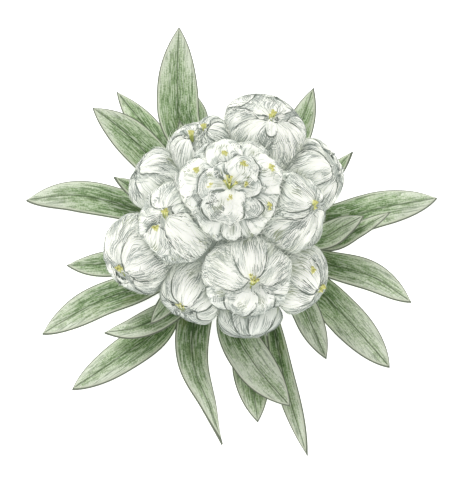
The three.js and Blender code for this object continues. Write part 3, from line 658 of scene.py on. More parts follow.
WIDTH_TABLE = eased((0, 0.12, 0.28, 0.5, 0.7, 0.85, 0.95, 1),
                    (0.5, 0.8, 0.97, 1, 0.94, 0.76, 0.48, 0.05), 5)
LIFT_TABLE = eased((0, 0.12, 0.28, 0.5, 0.85, 1), (0.0, 0.55, 0.9, 1, 0.93, 0.7), 7)
BRACT_ROWS, BRACT_COLUMNS = 27, 25
CORE_SHARE = 0.84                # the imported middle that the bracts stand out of
BULGE_SHARE, LOBE_BULGE_SHARE = 0.035, 0.06
LAP_SHARE, LOBE_LAP_SHARE = 0.034, 0.018   # how far one stands off those below it
PLEAT_SHARE = 0.013              # how deep the soft pleats along a bract are
MARGIN_FALL = 0.75               # how much of its height a bract loses at its margins


def width_at(v):
    return np.interp(v, *WIDTH_TABLE)


print("half way, a bract has this share of its width:", width_at(0.5).round(3))

# %% Heights of the bracts
def highest(bracts, directions, radii):
    """These radii, or those of the bracts wherever a bract is higher."""
    for bract in bracts:
        u, v = bract.find(directions)
        over = (np.abs(u) <= 1) & (v >= 0) & (v <= 1)
        radii = np.where(over, np.maximum(radii, bract.height(u, v)), radii)
    return radii


class Bract:
    """One bract: where it lies on its head and how high each spot of it stands."""

    def __init__(self, head, note):
        self.head, self.order = head, len(head.bracts)
        self.clock, self.base, self.tip, self.half, self.level, *bend = note
        self.bend = [*bend, rng.uniform(-9, 9)][0]
        self.is_lobe = self.base < self.tip
        degree = math.radians(1) * head.radius
        self.long, self.wide = abs(self.base - self.tip) * degree, 2 * self.half * degree
        self.u = np.linspace(-1, 1, BRACT_COLUMNS)[None]
        self.v = np.linspace(0, 1, BRACT_ROWS)[:, None]
        self.heights = self.settle(*rng.uniform([6, 0, -2.5], [9, 6, 2.5]))

    def sway(self, v):
        """How far the bract's middle line has swung aside, in degrees."""
        return self.bend * np.sin(np.pi * np.clip(v, 0, 1))

    def direction(self, u, v):
        return self.head.direction(self.clock, self.base + (self.tip - self.base) * v,
                                   u * self.half * width_at(v) + self.sway(v))

    def find(self, directions):
        """Where these directions lie on the bract: across it and along it."""
        lean, aside = self.head.angles(self.clock, directions)
        v = (lean - self.base) / (self.tip - self.base)
        return (aside - self.sway(v)) / (self.half * width_at(np.clip(v, 0, 1))), v

    def height(self, u, v):
        row = np.clip(v, 0, 1) * (BRACT_ROWS - 1)
        column = (np.clip(u, -1, 1) + 1) / 2 * (BRACT_COLUMNS - 1)
        i = np.minimum(row.astype(int), BRACT_ROWS - 2)
        j = np.minimum(column.astype(int), BRACT_COLUMNS - 2)
        s, t, table = row - i, column - j, self.heights
        return ((table[i, j] * (1 - t) + table[i, j + 1] * t) * (1 - s)
                + (table[i + 1, j] * (1 - t) + table[i + 1, j + 1] * t) * s)

    def settle(self, often, start, slant):
        """Heights over the whole bract once it lies on the lower ones, with its pleats."""
        radius, u, v = self.head.radius, self.u, self.v
        lift = np.interp(v, *LIFT_TABLE)
        own = CORE_SHARE + (self.level - CORE_SHARE) * lift * (1 - MARGIN_FALL * u ** 4)
        bulge = LOBE_BULGE_SHARE if self.is_lobe else BULGE_SHARE
        pleat = PLEAT_SHARE * np.sin(often * u + start + slant * v) * (1 - u ** 4)
        own = (own + (bulge * (1 - u ** 2) + pleat) * lift) * radius
        below = highest(self.head.bracts, self.direction(u, v),
                        np.full_like(own, CORE_SHARE * radius * 0.98))
        lap = (LOBE_LAP_SHARE if self.is_lobe else LAP_SHARE) * radius * (2 * lift - 1)
        heights = np.maximum(own, below + lap)
        for _ in range(3):
            padded = np.pad(heights, 1, mode="edge")
            around = (padded[:-2, 1:-1] + padded[2:, 1:-1] + padded[1:-1, :-2]
                      + padded[1:-1, 2:]) / 4
            heights = np.maximum(heights * 0.5 + around * 0.5, below + lap)
        return np.minimum(heights, radius)


for head in heads:
    for note in head.bract_notes:
        head.bracts.append(Bract(head, note))
print("bracts layered:", sum(len(head.bracts) for head in heads))

# %% [markdown]
# ## Room and shade
# Heads press on each other. A head stops short of the ones that lie on it, and its soft wool
# swells into the gap that is left beside its neighbours. Where bracts lap and heads meet, the
# drawing is grey and grey-green. Soft light alone would leave those folds too pale at this
# size, so shade is painted there: each spot's tone falls near a covering bract's edge, near a
# neighbouring head, low in the cluster and on the flanks.

# %% Room beside the neighbours
NEIGHBOUR_GAP = 0.08
SWELL_SHARE = 0.6                # how much of the gap to its neighbour each head fills
SWELL_REACH = 2.4                # gaps wider than this many millimetres stay open
STRAND_ROOM = 0.05               # what a strand keeps free over itself


def gaps(points, others):
    """How far points are from each of these heads, one table a head; inside is under 0."""
    return np.array([np.linalg.norm(points - other.centre, axis=-1) - other.radius
                     for other in others])


def swelling(head, directions):
    """How far pressed wool swells out of a head towards its neighbours, in millimetres."""
    gap = gaps(head.centre + directions * head.radius, head.others).min(axis=0)
    gap = np.maximum(gap, 0)
    return SWELL_SHARE * gap * np.exp(-(gap / SWELL_REACH) ** 2)


def room_limit(head, directions, others=None):
    """How far each direction can go before it meets one of the heads on top of this one."""
    limit = np.full(directions.shape[:-1], np.inf)
    for other in others or head.above:
        away = other.centre - head.centre
        forward = directions @ away
        spare = forward ** 2 - (away @ away - (other.radius + NEIGHBOUR_GAP) ** 2)
        reach = forward - np.sqrt(np.maximum(spare, 0))
        limit = np.where((forward > 0) & (spare > 0), np.minimum(limit, reach), limit)
    return limit


def raised(head, directions, radii):
    """Points at these radii on the swollen head, their directions, and which have room."""
    radii = radii + swelling(head, directions)
    free = (room_limit(head, directions) > radii + STRAND_ROOM).all(axis=1)
    return head.centre + directions * radii[..., None], directions, free


print("room over the low front head:", room_limit(heads[-3], heads[-3].mouth[None])[0], "mm")

# %% Shade in the folds
CREASE_REACH = 0.9               # how far the painted shade beside a neighbour reaches
LAP_DEGREES = 5.0                # and how far it reaches beside a covering bract
LOW_BELOW, LOW_DEPTH = 10.5, 4   # where painted shade starts to darken low wool, and over what depth


def neighbour_shade(head, points):
    """Painted shade: strong beside heads on top of this one, weaker beside those under it."""
    light = 1.0
    for other, gap in zip(head.others, gaps(points, head.others)):
        near = np.exp(-(np.maximum(gap, 0) / CREASE_REACH) ** 1.2)
        light = light * (1 - near * (0.75 if other in head.above else 0.4))
    return 1 - light


def low_shade(head, points):
    """How much painted shade darkens a spot: by its head's note, low in the cluster, on a
    flank.
    """
    buried = np.clip((LOW_BELOW - points[..., 2]) / LOW_DEPTH, 0, 1)
    flank = np.clip(0.3 - (points[..., 2] - head.centre[2]) / head.radius, 0, 0.5)
    return head.shade + 0.2 * buried + 0.5 * flank


def covering(bract, directions):
    """Whether a higher bract hides each direction, and the painted shade near such an edge."""
    hidden = np.zeros(directions.shape[:-1], bool)
    shade = np.zeros(directions.shape[:-1])
    for other in bract.head.bracts[bract.order + 1:]:
        u, v = other.find(directions)
        hidden |= (np.abs(u) < 0.97) & (v > 0.1) & (v < 0.98)
        aside = (np.abs(u) - 1) * other.half * width_at(np.clip(v, 0, 1))
        beyond = np.maximum(v - 1, 0) * abs(other.tip - other.base)
        near = np.exp(-np.maximum(np.maximum(aside, beyond), 0) / LAP_DEGREES)
        shade = np.maximum(shade, np.where((v > 0.05) & (v < 1.25), near, 0))
    return hidden, shade


at_mouths = [float(neighbour_shade(head, head.centre + head.mouth * head.radius))
             for head in heads]
print("deepest shade at a mouth:", round(max(at_mouths), 2))

# %% [markdown]
# ## Wool strands
# Loose wool breaks up every edge. Each strand is a flat tapered ribbon of a few segments that
# starts on a bract and runs towards its tip, lifting off a little at its end. Most are white,
# and some are grey; in the folds and low down more are grey and all are darker, as painted
# shade. Ribbons survive export, unlike particles.

# %% Strands as ribbons
STRAND = np.linspace(0, 1, 7)[None]      # places along a strand
STROKE = np.linspace(0, 1, 15)[None]     # and along the longer strokes at an edge


def strands(paths, normals, tone, moss, width, lean):
    """Tapered grids of two columns along the paths, and the numbers for the wool finish.
    Width is one for each or a range to draw from; lean tips them about their own length."""
    count = len(paths)
    widths = rng.uniform(*width, count) if isinstance(width, tuple) else width
    side = unit(np.cross(unit(np.gradient(paths, axis=1)), normals))
    side = unit(side + rng.normal(0, lean, (count, 1, 1)) * normals)
    t = np.linspace(0, 1, paths.shape[1])
    taper = (0.55 + 0.45 * np.sin(np.pi * np.minimum(t * 1.4, 1)) ** 0.5) * (1 - t ** 2.5)
    half = (np.maximum(taper, 0.06) * widths[:, None] / 2)[..., None]
    return (np.stack([paths - side * half, paths + side * half], axis=2),
            dict(tone=tone[..., None], moss=np.asarray(moss)[..., None], inset_mm=1.0,
                 number=rng.uniform(0, 90, (count, 1, 1))))


print("points along a strand:", STRAND.size, "and along an edge stroke:", STROKE.size)

# %% Tones and places of strands
PAST_TIP = 1.06                  # how far past a bract's tip a strand may run, along it


def grey_or_white(grey_share, greys, whites, count, dim=1.0):
    """A tone for each strand, from one of two ranges."""
    grey = rng.random(count) < grey_share
    tone = np.where(grey, rng.uniform(*greys, count) * dim, rng.uniform(*whites, count))
    return tone[:, None]


def lay(bract, us, vs, stand_off):
    """Points along strands on a bract, their directions, and which strands have room."""
    return raised(bract.head, bract.direction(us, np.minimum(vs, PAST_TIP)),
                  bract.height(us, vs) + stand_off)


STRANDS_PER_SQUARE_MM = 5.0
print("strands to a square millimetre:", STRANDS_PER_SQUARE_MM)

# %% Comb loose wool over a bract
def comb_bract(bract):
    """Loose white strands of one bract, with a few grey ones."""
    thinned = 0.5 if bract.is_lobe else 0.8
    count = int(STRANDS_PER_SQUARE_MM * bract.long * bract.wide * thinned)
    u = np.sin(rng.uniform(-1, 1, (count, 1)) * np.pi / 2 * 0.97)
    v = rng.uniform(0.0, 0.93, (count, 1))
    seen = ~covering(bract, bract.direction(u, v)[:, 0])[0]
    u, v, count = u[seen], v[seen], int(seen.sum())
    reach = rng.uniform(0.9, 3.0, (count, 1)) / bract.long
    drift = rng.normal(0, 0.06, (count, 1)) + 0.1 * np.sin(3.1 * v + rng.uniform(0, 6))
    swirl = rng.normal(0, 0.06, (count, 1)) + (0.25 if bract.is_lobe else 0)
    us = u + drift * STRAND + swirl * np.sin(np.pi * STRAND * 1.3)
    loose = rng.exponential(0.04, (count, 1))
    loose += (rng.random((count, 1)) < 0.16) * rng.uniform(0.1, 0.5, (count, 1))
    paths, directions, free = lay(bract, us, v + STRAND * reach, 0.012 + loose * STRAND ** 1.6)
    paths, directions, count = paths[free], directions[free], int(free.sum())
    fold_shade = neighbour_shade(bract.head, paths)
    # Strands in the folds and low down are more often grey and darker, as painted shade.
    tone = grey_or_white(0.12 + 0.4 * fold_shade.mean(axis=1), (0.3, 0.75), (0.88, 1.06), count)
    tone = tone * (1 - 0.2 * fold_shade) - low_shade(bract.head, paths)
    moss = np.clip(rng.normal(0.1, 0.14, (count, 1)) + 0.3 * fold_shade, 0, 0.8)
    return strands(paths, directions, tone, moss, (0.06, 0.12), 0.5)


print("strands tried on the top bract of the middle head:",
      int(STRANDS_PER_SQUARE_MM * heads[0].bracts[-1].long * heads[0].bracts[-1].wide))

# %% [markdown]
# ## Grey strokes on the bracts
# The drawing models each bract with short grey strokes: parallel hatching near its edges and
# base, which is grey hair and painted shade at once, and grey-green patches on its middle. They
# are groups of ribbons that lie side by side just above the wool. A texture would blur when the
# part is seen closely, and these catch light as matted hair does.

# %% Strokes in groups
def drawn(noted, count):
    """A number for each group: the noted one, or one drawn from the noted range."""
    return rng.uniform(*noted, count) if isinstance(noted, tuple) else np.full(count, noted)


def stroke_groups(bract, u, v, step, length, tone, moss, width, each):
    """Parallel strokes side by side, one group at each of the noted places."""
    def shared(values):
        return np.repeat(values, each)[:, None]

    groups = len(u)
    step, length, tone, moss = (drawn(noted, groups) for noted in (step, length, tone, moss))
    across = np.arange(each) - (each - 1) / 2
    across = across * (step / (bract.wide / 2 * width_at(v)))[:, None]
    u = (u[:, None] + across + rng.normal(0, 0.01, (groups, each))).reshape(-1, 1)
    v = (v[:, None] + rng.normal(0, 0.035, (groups, each))).reshape(-1, 1)
    vs = v + STRAND * (shared(length) * rng.uniform(0.6, 1.1, u.shape) / bract.long)
    us = (u + shared(rng.normal(0, 0.1, groups)) * STRAND
          + shared(rng.normal(0, 0.12, groups)) * np.sin(np.pi * STRAND))
    paths, directions, free = lay(bract, us, vs, 0.03)
    hidden, shade = covering(bract, directions[:, 0])
    keep = (np.abs(u) < 1)[:, 0] & (v > 0)[:, 0] & free & ~hidden
    # Strokes near a covering edge or a neighbouring head are painted darker, as shade.
    fold_shade = np.maximum(shade[:, None], neighbour_shade(bract.head, paths))[keep]
    tone = (shared(tone) + rng.uniform(-0.08, 0.08, u.shape))[keep] - 0.2 * fold_shade
    return strands(paths[keep], directions[keep], tone, shared(moss)[keep],
                   width * rng.uniform(0.7, 1.2, int(keep.sum())), 0.3)


print("a single noted number stays the same for each group:", drawn(1.0, 2))

# %% Hatching and moss-grey patches
HATCHES_PER_SQUARE_MM = 0.5
LARGE_BRACT = 12                 # square millimetres; larger ones always get a patch


def hatch_bract(bract):
    """Grey hatching, hair and painted shade, most of it by the bract's edges and its base."""
    density = HATCHES_PER_SQUARE_MM * bract.head.hatch
    groups = max(2, int(density * bract.long * bract.wide))
    edge = rng.choice([-1, 1], groups) * rng.uniform(0.5, 0.95, groups)
    u = np.where(rng.random(groups) < 0.7, edge, rng.uniform(-0.5, 0.5, groups))
    return stroke_groups(bract, u, rng.beta(1.1, 1.9, groups) * 0.92, step=(0.18, 0.3),
                         length=(1.2, 3.6), tone=(0.2, 0.72), moss=(0.0, 0.25), width=0.09,
                         each=7)


def moss_bract(bract):
    """A patch or two of broad grey-green strokes on the middle of the bract."""
    groups = rng.integers(1, 3) if bract.long * bract.wide > LARGE_BRACT else rng.integers(0, 2)
    return stroke_groups(bract, rng.uniform(-0.45, 0.45, groups),
                         rng.uniform(0.12, 0.5, groups), step=0.22, length=(0.9, 1.7),
                         tone=(0.5, 0.72), moss=1.0, width=0.14, each=5)


print("hatches to a square millimetre:", HATCHES_PER_SQUARE_MM)

# %% [markdown]
# ## Strokes along the edges
# Edges are drawn with longer strokes than faces: grey ones that follow a bract's tip just
# outside it, as painted shade on the wool below, or just inside it, thin dark ones on the edge
# itself, and a thin contour round the outline of each head. They are ribbons too, laid along an
# edge by its own two angles. A renderer's line art would be lost on export.

# %% Strokes round the tip of a bract
EDGE_REACH = 0.58                # the share of a bract's edge, from its tip, that gets strokes


def edge_point(place):
    """The place along and across a bract, for a share of the way round its tip."""
    return 0.995 - np.abs(2 * place - 1) * EDGE_REACH, np.clip((place - 0.5) * 30, -1, 1)


def halo_bract(bract, groups, inside, each=6):
    """Grey strokes along a bract's edge in groups: painted shade outside, hair lines inside."""
    if inside:
        groups = max(1, int(groups * min(1, bract.long * bract.wide / 16)))
    start = rng.uniform(0.1, 0.72, (groups, 1)) + rng.normal(0, 0.025, (groups, each))
    length = rng.uniform(0.12, 0.3, (groups, 1)) * rng.uniform(0.6, 1.1, (groups, each))
    spread = np.arange(each) * (rng.uniform(0.18, 0.32, (groups, 1)) / (bract.wide / 2))
    spread = (0.9 - spread if inside else 1.01 + spread).reshape(-1, 1, 1)
    place = np.clip(start[..., None] + STROKE * length[..., None], 0.02, 0.98)
    vs, us = edge_point(place.reshape(-1, STROKE.size))
    middle = bract.direction(0.0, 0.5)
    directions = unit(middle + spread * (bract.direction(us, vs) - middle))
    u, v = bract.find(directions) if inside else (us, vs)
    paths, _, free = raised(bract.head, directions, bract.height(u, v) + 0.03)
    keep = free & ~covering(bract, directions[:, STROKE.size // 2])[0]
    shades = np.repeat(rng.uniform(0.34 if inside else 0.18, 0.68, groups), each)[keep]
    tone = (shades + rng.uniform(-0.08, 0.08, len(shades)))[:, None]
    return strands(paths[keep], directions[keep], tone, 0.1, (0.08, 0.12), 0.3)


print("strokes reach back along this share of a bract:", EDGE_REACH)

# %% Outlines of bracts and heads
HALO_LEVEL = 0.944               # bracts that stand higher than this count as being on top
OUTLINE_STROKES = 13
CONTOUR_STROKES = 9.0            # for each millimetre of a head's radius


def dark_in_the_middle(darkest, lightest, count):
    """Tones along strokes that press hardest half way."""
    return rng.uniform(darkest, lightest, (count, 1)) + 0.2 * (2 * STROKE - 1) ** 2


def outline_bract(bract):
    """Thin dark strokes along parts of a bract's edge, more of them if it lies on top."""
    count = OUTLINE_STROKES if bract.level > HALO_LEVEL else OUTLINE_STROKES // 3
    start, length = rng.uniform(0.1, 0.6, (count, 1)), rng.uniform(0.2, 0.5, (count, 1))
    vs, us = edge_point(np.minimum(start + STROKE * length, 0.97))
    paths, directions, free = lay(bract, us * rng.uniform(0.93, 1.0, (count, 1)), vs, 0.045)
    tone = dark_in_the_middle(-0.05, 0.15, int(free.sum()))
    return strands(paths[free], directions[free], tone, 0.2, (0.1, 0.18), 0.2)


def contour_head(head):
    """Thin strokes round the outline that the head shows to the camera."""
    count = int(CONTOUR_STROKES * head.radius * head.hatch)
    side = unit(np.cross(VIEW_TOWARDS, [0, 0, 1]))
    turn = rng.uniform(0, 2 * np.pi, (count, 1)) + STROKE * rng.uniform(0.15, 0.5, (count, 1))
    rise = rng.uniform(0.0, 0.28, (count, 1)) + STROKE * rng.normal(0, 0.08, (count, 1))
    round_it = (np.cos(turn)[..., None] * side
                + np.sin(turn)[..., None] * np.cross(VIEW_TOWARDS, side))
    directions = unit(rise[..., None] * VIEW_TOWARDS + round_it)
    radii = highest(head.bracts, directions, np.full(turn.shape, CORE_SHARE * head.radius))
    padded = np.pad(radii, ((0, 0), (2, 2)), mode="edge")
    radii = np.max([padded[:, i:i + STROKE.size] for i in range(5)], axis=0) + 0.05
    points = raised(head, directions, radii)[0]
    keep = gaps(points, head.others).min(axis=(0, 2)) > 0.3
    tone = dark_in_the_middle(0.05, 0.45, int(keep.sum()))
    return strands(points[keep], directions[keep], tone, 0.15, (0.08, 0.14), 0.2)


print("strokes along the edge of a top bract:", OUTLINE_STROKES)

# %% [markdown]
# ## Wool over the creases
# Where two heads press on each other their wool is matted together, so strands of the one lie
# over the other. Such a strand starts near the crease and is pushed out of every head that it
# would run into, which drapes it over both. Where three heads meet, it is painted darker, as
# shade.

# %% Drape strands over the creases between heads
BALL_SURFACE = 12.0              # times the squared radius, nearly all round a head
SUNK_SHARE = 0.985               # draped strands start and lie just under a head's surface


def push_out(points, share=SUNK_SHARE):
    """Move points that are inside any head out to that head's surface."""
    for other in heads:
        away = points - other.centre
        gap = np.linalg.norm(away, axis=-1, keepdims=True)
        points = np.where(gap < share * other.radius,
                          other.centre + away * (share * other.radius / gap), points)
    return points


def drape(head):
    """Strands that start on this head close to another one and cross over to it."""
    count = int(STRANDS_PER_SQUARE_MM * BALL_SURFACE * head.radius ** 2)
    starts = head.centre + unit(rng.normal(size=(count, 3))) * head.radius * SUNK_SHARE
    near, second = np.sort(gaps(starts, head.others), axis=0)[:2]
    chosen = (near > -0.2) & (near < 0.8)
    starts, deep_shade = starts[chosen], np.clip(1 - second[chosen] / 1.6, 0, 1)
    outward, count = unit(starts - head.centre), len(starts)
    away = unit(outward * (outward @ head.mouth)[:, None] - head.mouth)
    course = unit(away + 0.55 * rng.normal(size=(count, 3)))
    curl = 0.35 * np.cross(outward, course) * rng.normal(size=(count, 1))
    t = STRAND[..., None]
    paths = starts[:, None] + rng.uniform(0.9, 2.4, (count, 1, 1)) * (
        t * course[:, None] + t ** 2 * curl[:, None])
    for _ in range(3):
        paths = push_out(paths)
        paths[:, 1:-1] = paths[:, 1:-1] * 0.5 + (paths[:, :-2] + paths[:, 2:]) * 0.25
    paths = push_out(paths, 0.992)
    # Strands where three heads meet are more often grey and darker, as painted shade.
    tone = grey_or_white(0.45 + 0.45 * deep_shade, (0.1, 0.7), (0.82, 1.04), count, 1 - 0.7 * deep_shade)
    moss = np.clip(rng.normal(0.2, 0.15, (count, 1)), 0, 0.7)
    return strands(paths, unit(paths - head.centre), tone, moss, (0.06, 0.12), 0.5)


print("places tried for draped strands on the middle head:",
      int(STRANDS_PER_SQUARE_MM * BALL_SURFACE * heads[0].radius ** 2))

# %% [markdown]
# ## Core and cone of a head
# Behind the bracts each head is a packed core, and a woolly cone carries it on the dome. Both
# show in the folds and from behind, so they are closed surfaces of rings with strands combed
# over them, away from the mouth on the core and up towards the bracts on the cone.

# %% Core of a head
def core(head):
    """The rounded core that shows in the folds, as rings from behind to the mouth."""
    directions = head.direction(turns(30)[None], np.linspace(140, 4, 16)[:, None], 0.0)
    radii = CORE_SHARE * head.radius + swelling(head, directions)
    return head.centre + directions * np.minimum(radii, room_limit(head, directions))[..., None]


def comb_core(head):
    """Strands over what the bracts leave bare of the core, combed away from the mouth."""
    count = int(STRANDS_PER_SQUARE_MM * BALL_SURFACE * head.radius ** 2)
    starts = unit(rng.normal(size=(count, 3)))
    bare = starts @ head.mouth < 0.2
    for bract in head.bracts:
        u, v = bract.find(starts)
        bare &= (np.abs(u) > 0.95) | (v < 0) | (v > 1)
    starts, count = starts[bare], int(bare.sum())
    course = unit(starts * (starts @ head.mouth)[:, None] - head.mouth)
    course = course + rng.normal(0, 0.25, (count, 3))
    reach = STRAND * (rng.uniform(0.9, 2.4, (count, 1)) / head.radius)
    directions = unit(starts[:, None] + reach[..., None] * course[:, None])
    lift = 0.02 + STRAND * rng.exponential(0.06, (count, 1))
    paths, directions, free = raised(head, directions, CORE_SHARE * head.radius + lift)
    paths, count = paths[free], int(free.sum())
    # Strands near a neighbouring head are painted darker, as shade.
    fold_shade = neighbour_shade(head, paths)
    tone = grey_or_white(0.35, (0.25, 0.6), (0.75, 1.0), count) * (1 - 0.3 * fold_shade)
    return strands(paths, directions[free], tone, 0.2 + 0.3 * fold_shade, (0.08, 0.15), 0.5)


print("core of the middle head:", round(CORE_SHARE * heads[0].radius, 2), "mm in radius")

# %% Cone under a head
DOME_CENTRE = np.array([0.0, 0.0, 10.5])
CONE_TOP_SHARE, CONE_FOOT_SHARE = 0.9, 0.5    # as shares of the head's radius
CONE_STRANDS = 13                # for each millimetre of a head's radius


def crosswise(direction, hint=(0.3, 0.2, 0.9)):
    """Two directions that are square to this one and to each other."""
    first = unit(np.cross(direction, hint))
    return first, np.cross(direction, first)


def cone_points(head, angle, turn, stand_off=0.0):
    """Points of the cone at this angle from its axis and this turn, and which are free."""
    away = DOME_CENTRE - head.centre
    length = np.linalg.norm(away)
    down = away / length
    first, second = crosswise(down, (0.31, 0.17, 0.93))
    angle, turn = np.radians(angle)[..., None], np.radians(turn)[..., None]
    sideways = np.cos(turn) * first + np.sin(turn) * second
    directions = np.cos(angle) * down + np.sin(angle) * sideways
    slope = (CONE_TOP_SHARE - CONE_FOOT_SHARE) * head.radius / length
    cone = CONE_TOP_SHARE * head.radius / (np.sin(angle) + slope * np.cos(angle))
    cone = np.minimum(cone, 0.8 * length / np.maximum(np.cos(angle), 0.05))[..., 0]
    limit = room_limit(head, directions, head.others)
    reach = np.minimum(cone + stand_off, limit)
    return head.centre + directions * reach[..., None], directions, limit > cone


def comb_cone(head):
    """Strands that sweep up the cone to the feet of the bracts."""
    count = int(STRANDS_PER_SQUARE_MM * CONE_STRANDS * head.radius)
    angles = rng.uniform(14, 84, (count, 1)) + STRAND * rng.uniform(10, 26, (count, 1))
    around = rng.uniform(0, 360, (count, 1)) + STRAND * rng.normal(0, 7, (count, 1))
    lift = 0.02 + STRAND * rng.exponential(0.12, (count, 1))
    paths, normals, free = cone_points(head, angles, around, lift)
    keep = free.all(axis=1)
    # Strands near a neighbouring head are painted darker, as shade.
    fold_shade = neighbour_shade(head, paths[keep])
    tone = grey_or_white(0.45, (0.1, 0.45), (0.6, 0.95), int(keep.sum())) * (1 - 0.35 * fold_shade)
    return strands(paths[keep], normals[keep], tone, 0.25 + 0.3 * fold_shade, (0.07, 0.14), 0.5)


print("cones run down to", DOME_CENTRE, "mm")

# %% [markdown]
# ## Heads
# A head is now its layered bracts, each with a turned-down rim that gives its edge some
# thickness, its strands and strokes, and its core and cone. The bracts carry the drawing's
# shading as painted shade: white on the crest, darker at the base, at lapped edges and in the
# creases; they are grey-green in a patch low on the middle. Lobes get strokes inside their edge
# that curl round it, the other bracts get hatching, and the bracts on top get strokes of
# painted shade round their outside.

# %% Surface of a bract
RIM_SHARE = 0.045                # how far the rim is turned down, as a share of the radius


def bract_surface(bract):
    """The bract's grid with a rim turned down all round, and its numbers."""
    u = np.pad(bract.u, ((0, 0), (1, 1)), mode="edge")
    v = np.pad(bract.v, ((0, 1), (0, 0)), mode="edge")
    directions = bract.direction(u, v)
    heights = bract.height(u, v) + swelling(bract.head, directions)
    rim = np.zeros_like(heights, bool)
    rim[:, [0, -1]] = rim[-1] = True
    heights = np.where(rim, heights - RIM_SHARE * bract.head.radius, heights)
    limit = room_limit(bract.head, directions)
    # Painted shade where the bract is pressed against a head that lies on it.
    pressed = np.clip((heights - limit + 0.5) / 0.6, 0, 1) * 0.8
    points = bract.head.centre + directions * np.minimum(heights, limit)[..., None]
    if bract.is_lobe:
        points, u = points[:, ::-1], u[:, ::-1]
    shade = covering(bract, unit(points - bract.head.centre))[1]
    fold_shade = np.maximum(np.maximum(shade, pressed), neighbour_shade(bract.head, points))
    patch = np.exp(-((u - rng.uniform(-0.2, 0.2)) / 0.3) ** 2
                   - ((v - rng.uniform(0.3, 0.45)) / 0.16) ** 2) * rng.uniform(0.0, 1.0)
    # Painted shade: darker at its base, beside lapped edges and neighbours, low down and on the
    # flanks; the patch is grey-green colour.
    tone = 0.98 - 0.2 * np.exp(-v * bract.long / 1.4) - 0.4 * fold_shade - 0.28 * fold_shade ** 4
    tone = tone - 0.08 * patch - low_shade(bract.head, points)
    inset = np.minimum((1 - np.abs(u)) * bract.wide / 2 * width_at(v), (1 - v) * bract.long)
    inset = inset + 0.3 * np.clip((0.7 - v) / 0.3, 0, 1)
    return points, dict(tone=tone, moss=0.15 * fold_shade + 0.8 * patch + 0.05, inset_mm=inset,
                        flow_across=u * bract.wide / 2, flow_along=v * bract.long,
                        number=rng.uniform(0, 90))


print("points on the surface of a bract:", (BRACT_ROWS + 1) * (BRACT_COLUMNS + 2))

# %% Build the heads
HALO_GROUPS, LOBE_GROUPS = 4, 8


def head_layers(head):
    """All of a head's grids with their numbers, from the bracts to the cone."""
    for bract in head.bracts:
        yield bract_surface(bract)
        yield comb_bract(bract)
        yield outline_bract(bract)
        yield halo_bract(bract, LOBE_GROUPS, True) if bract.is_lobe else hatch_bract(bract)
        yield moss_bract(bract)
        if bract.level > HALO_LEVEL:
            yield halo_bract(bract, HALO_GROUPS, False)
    yield drape(head)
    yield contour_head(head)
    yield comb_core(head)
    yield core(head), dict(wrap=True, tone=0.65, moss=0.25, inset_mm=1.0)
    cone = cone_points(head, np.linspace(102, 12, 22)[:, None], turns(40)[None])[0]
    yield cone, dict(wrap=True, tone=0.6, moss=0.3, inset_mm=1.0)
    yield comb_cone(head)


triangles = 0
for head in heads:
    tuft = Sheaf()
    for grids, numbers in head_layers(head):
        tuft.add(grids, **numbers)
    triangles += tuft.piece(f"head_{head.name}", WOOL)
print("heads built:", len(heads), "triangles:", triangles)

# %% [markdown]
# ## Florets
# The florets are narrow tubes, a few in each tuft, that open in small lobes just above the
# wool. They are yellow-green with a darker throat. Each tube is a turned profile whose last
# ring is scalloped into lobes, which reads better at this size than a plain cylinder. In a
# tuft they fan out, and all tufts lean a little to the back, towards the light.

# %% Mix the floret finish
def floret_finish():
    floret = Finish("yellow_green_floret")
    height, number = floret.attributes("along", "number")
    speckle = floret.noise(number, height * 3.0, number * 2.0, detail=1.0)
    tube = floret.shades(height, (0.0, "#7d8a4a"), (0.3, "#a3a95a"), (0.5, "#dfdf98"),
                         (0.8, "#d3d080"), (1.0, "#55552c"))
    colour = floret.blend(speckle.ramp(0.5, 0.7) * 0.3, tube, "#8f9a4e")
    # The florets get the same painted glow.
    return floret.surface(Base_Color=colour, Roughness=0.6, Emission_Color=colour,
                          Emission_Strength=PAINTED_GLOW,
                          Normal=floret.bump(speckle, 0.00005, 0.3))


FLORET = floret_finish()

# %% Build the tufts of florets
TUBE_PROFILE = [(0.55, -0.8), (0.6, 0.2), (0.75, 0.7), (1.25, 1.0), (1.15, 1.05), (0.5, 0.9),
                (0.1, 0.55)]     # (share of the radius, share of the height)
TUBE_COLOUR = np.array([0.0, 0.3, 0.5, 0.78, 0.82, 0.95, 1.0])
FLORET_LEAN = np.array([0.1, 1.1, 0.2])
FLORET_SPREAD, GOLDEN_TURN = 0.34, 2.4
STAR_WIDTH = 1.4                 # tufts wider than this open like a star


def floret_tube(foot, direction, radius, height, turn, sides=10):
    """A turned tube with five lobes at its mouth."""
    first, second = crosswise(direction)
    angle = np.radians(turns(sides))[:, None]
    spread = np.cos(angle + turn) * first + np.sin(angle + turn) * second
    lobes = 1 + 0.22 * np.cos(5 * angle)
    return np.stack([foot + direction * rise * height
                     + spread * (out * radius * (lobes if out > 1 else 1.0))
                     for out, rise in TUBE_PROFILE])


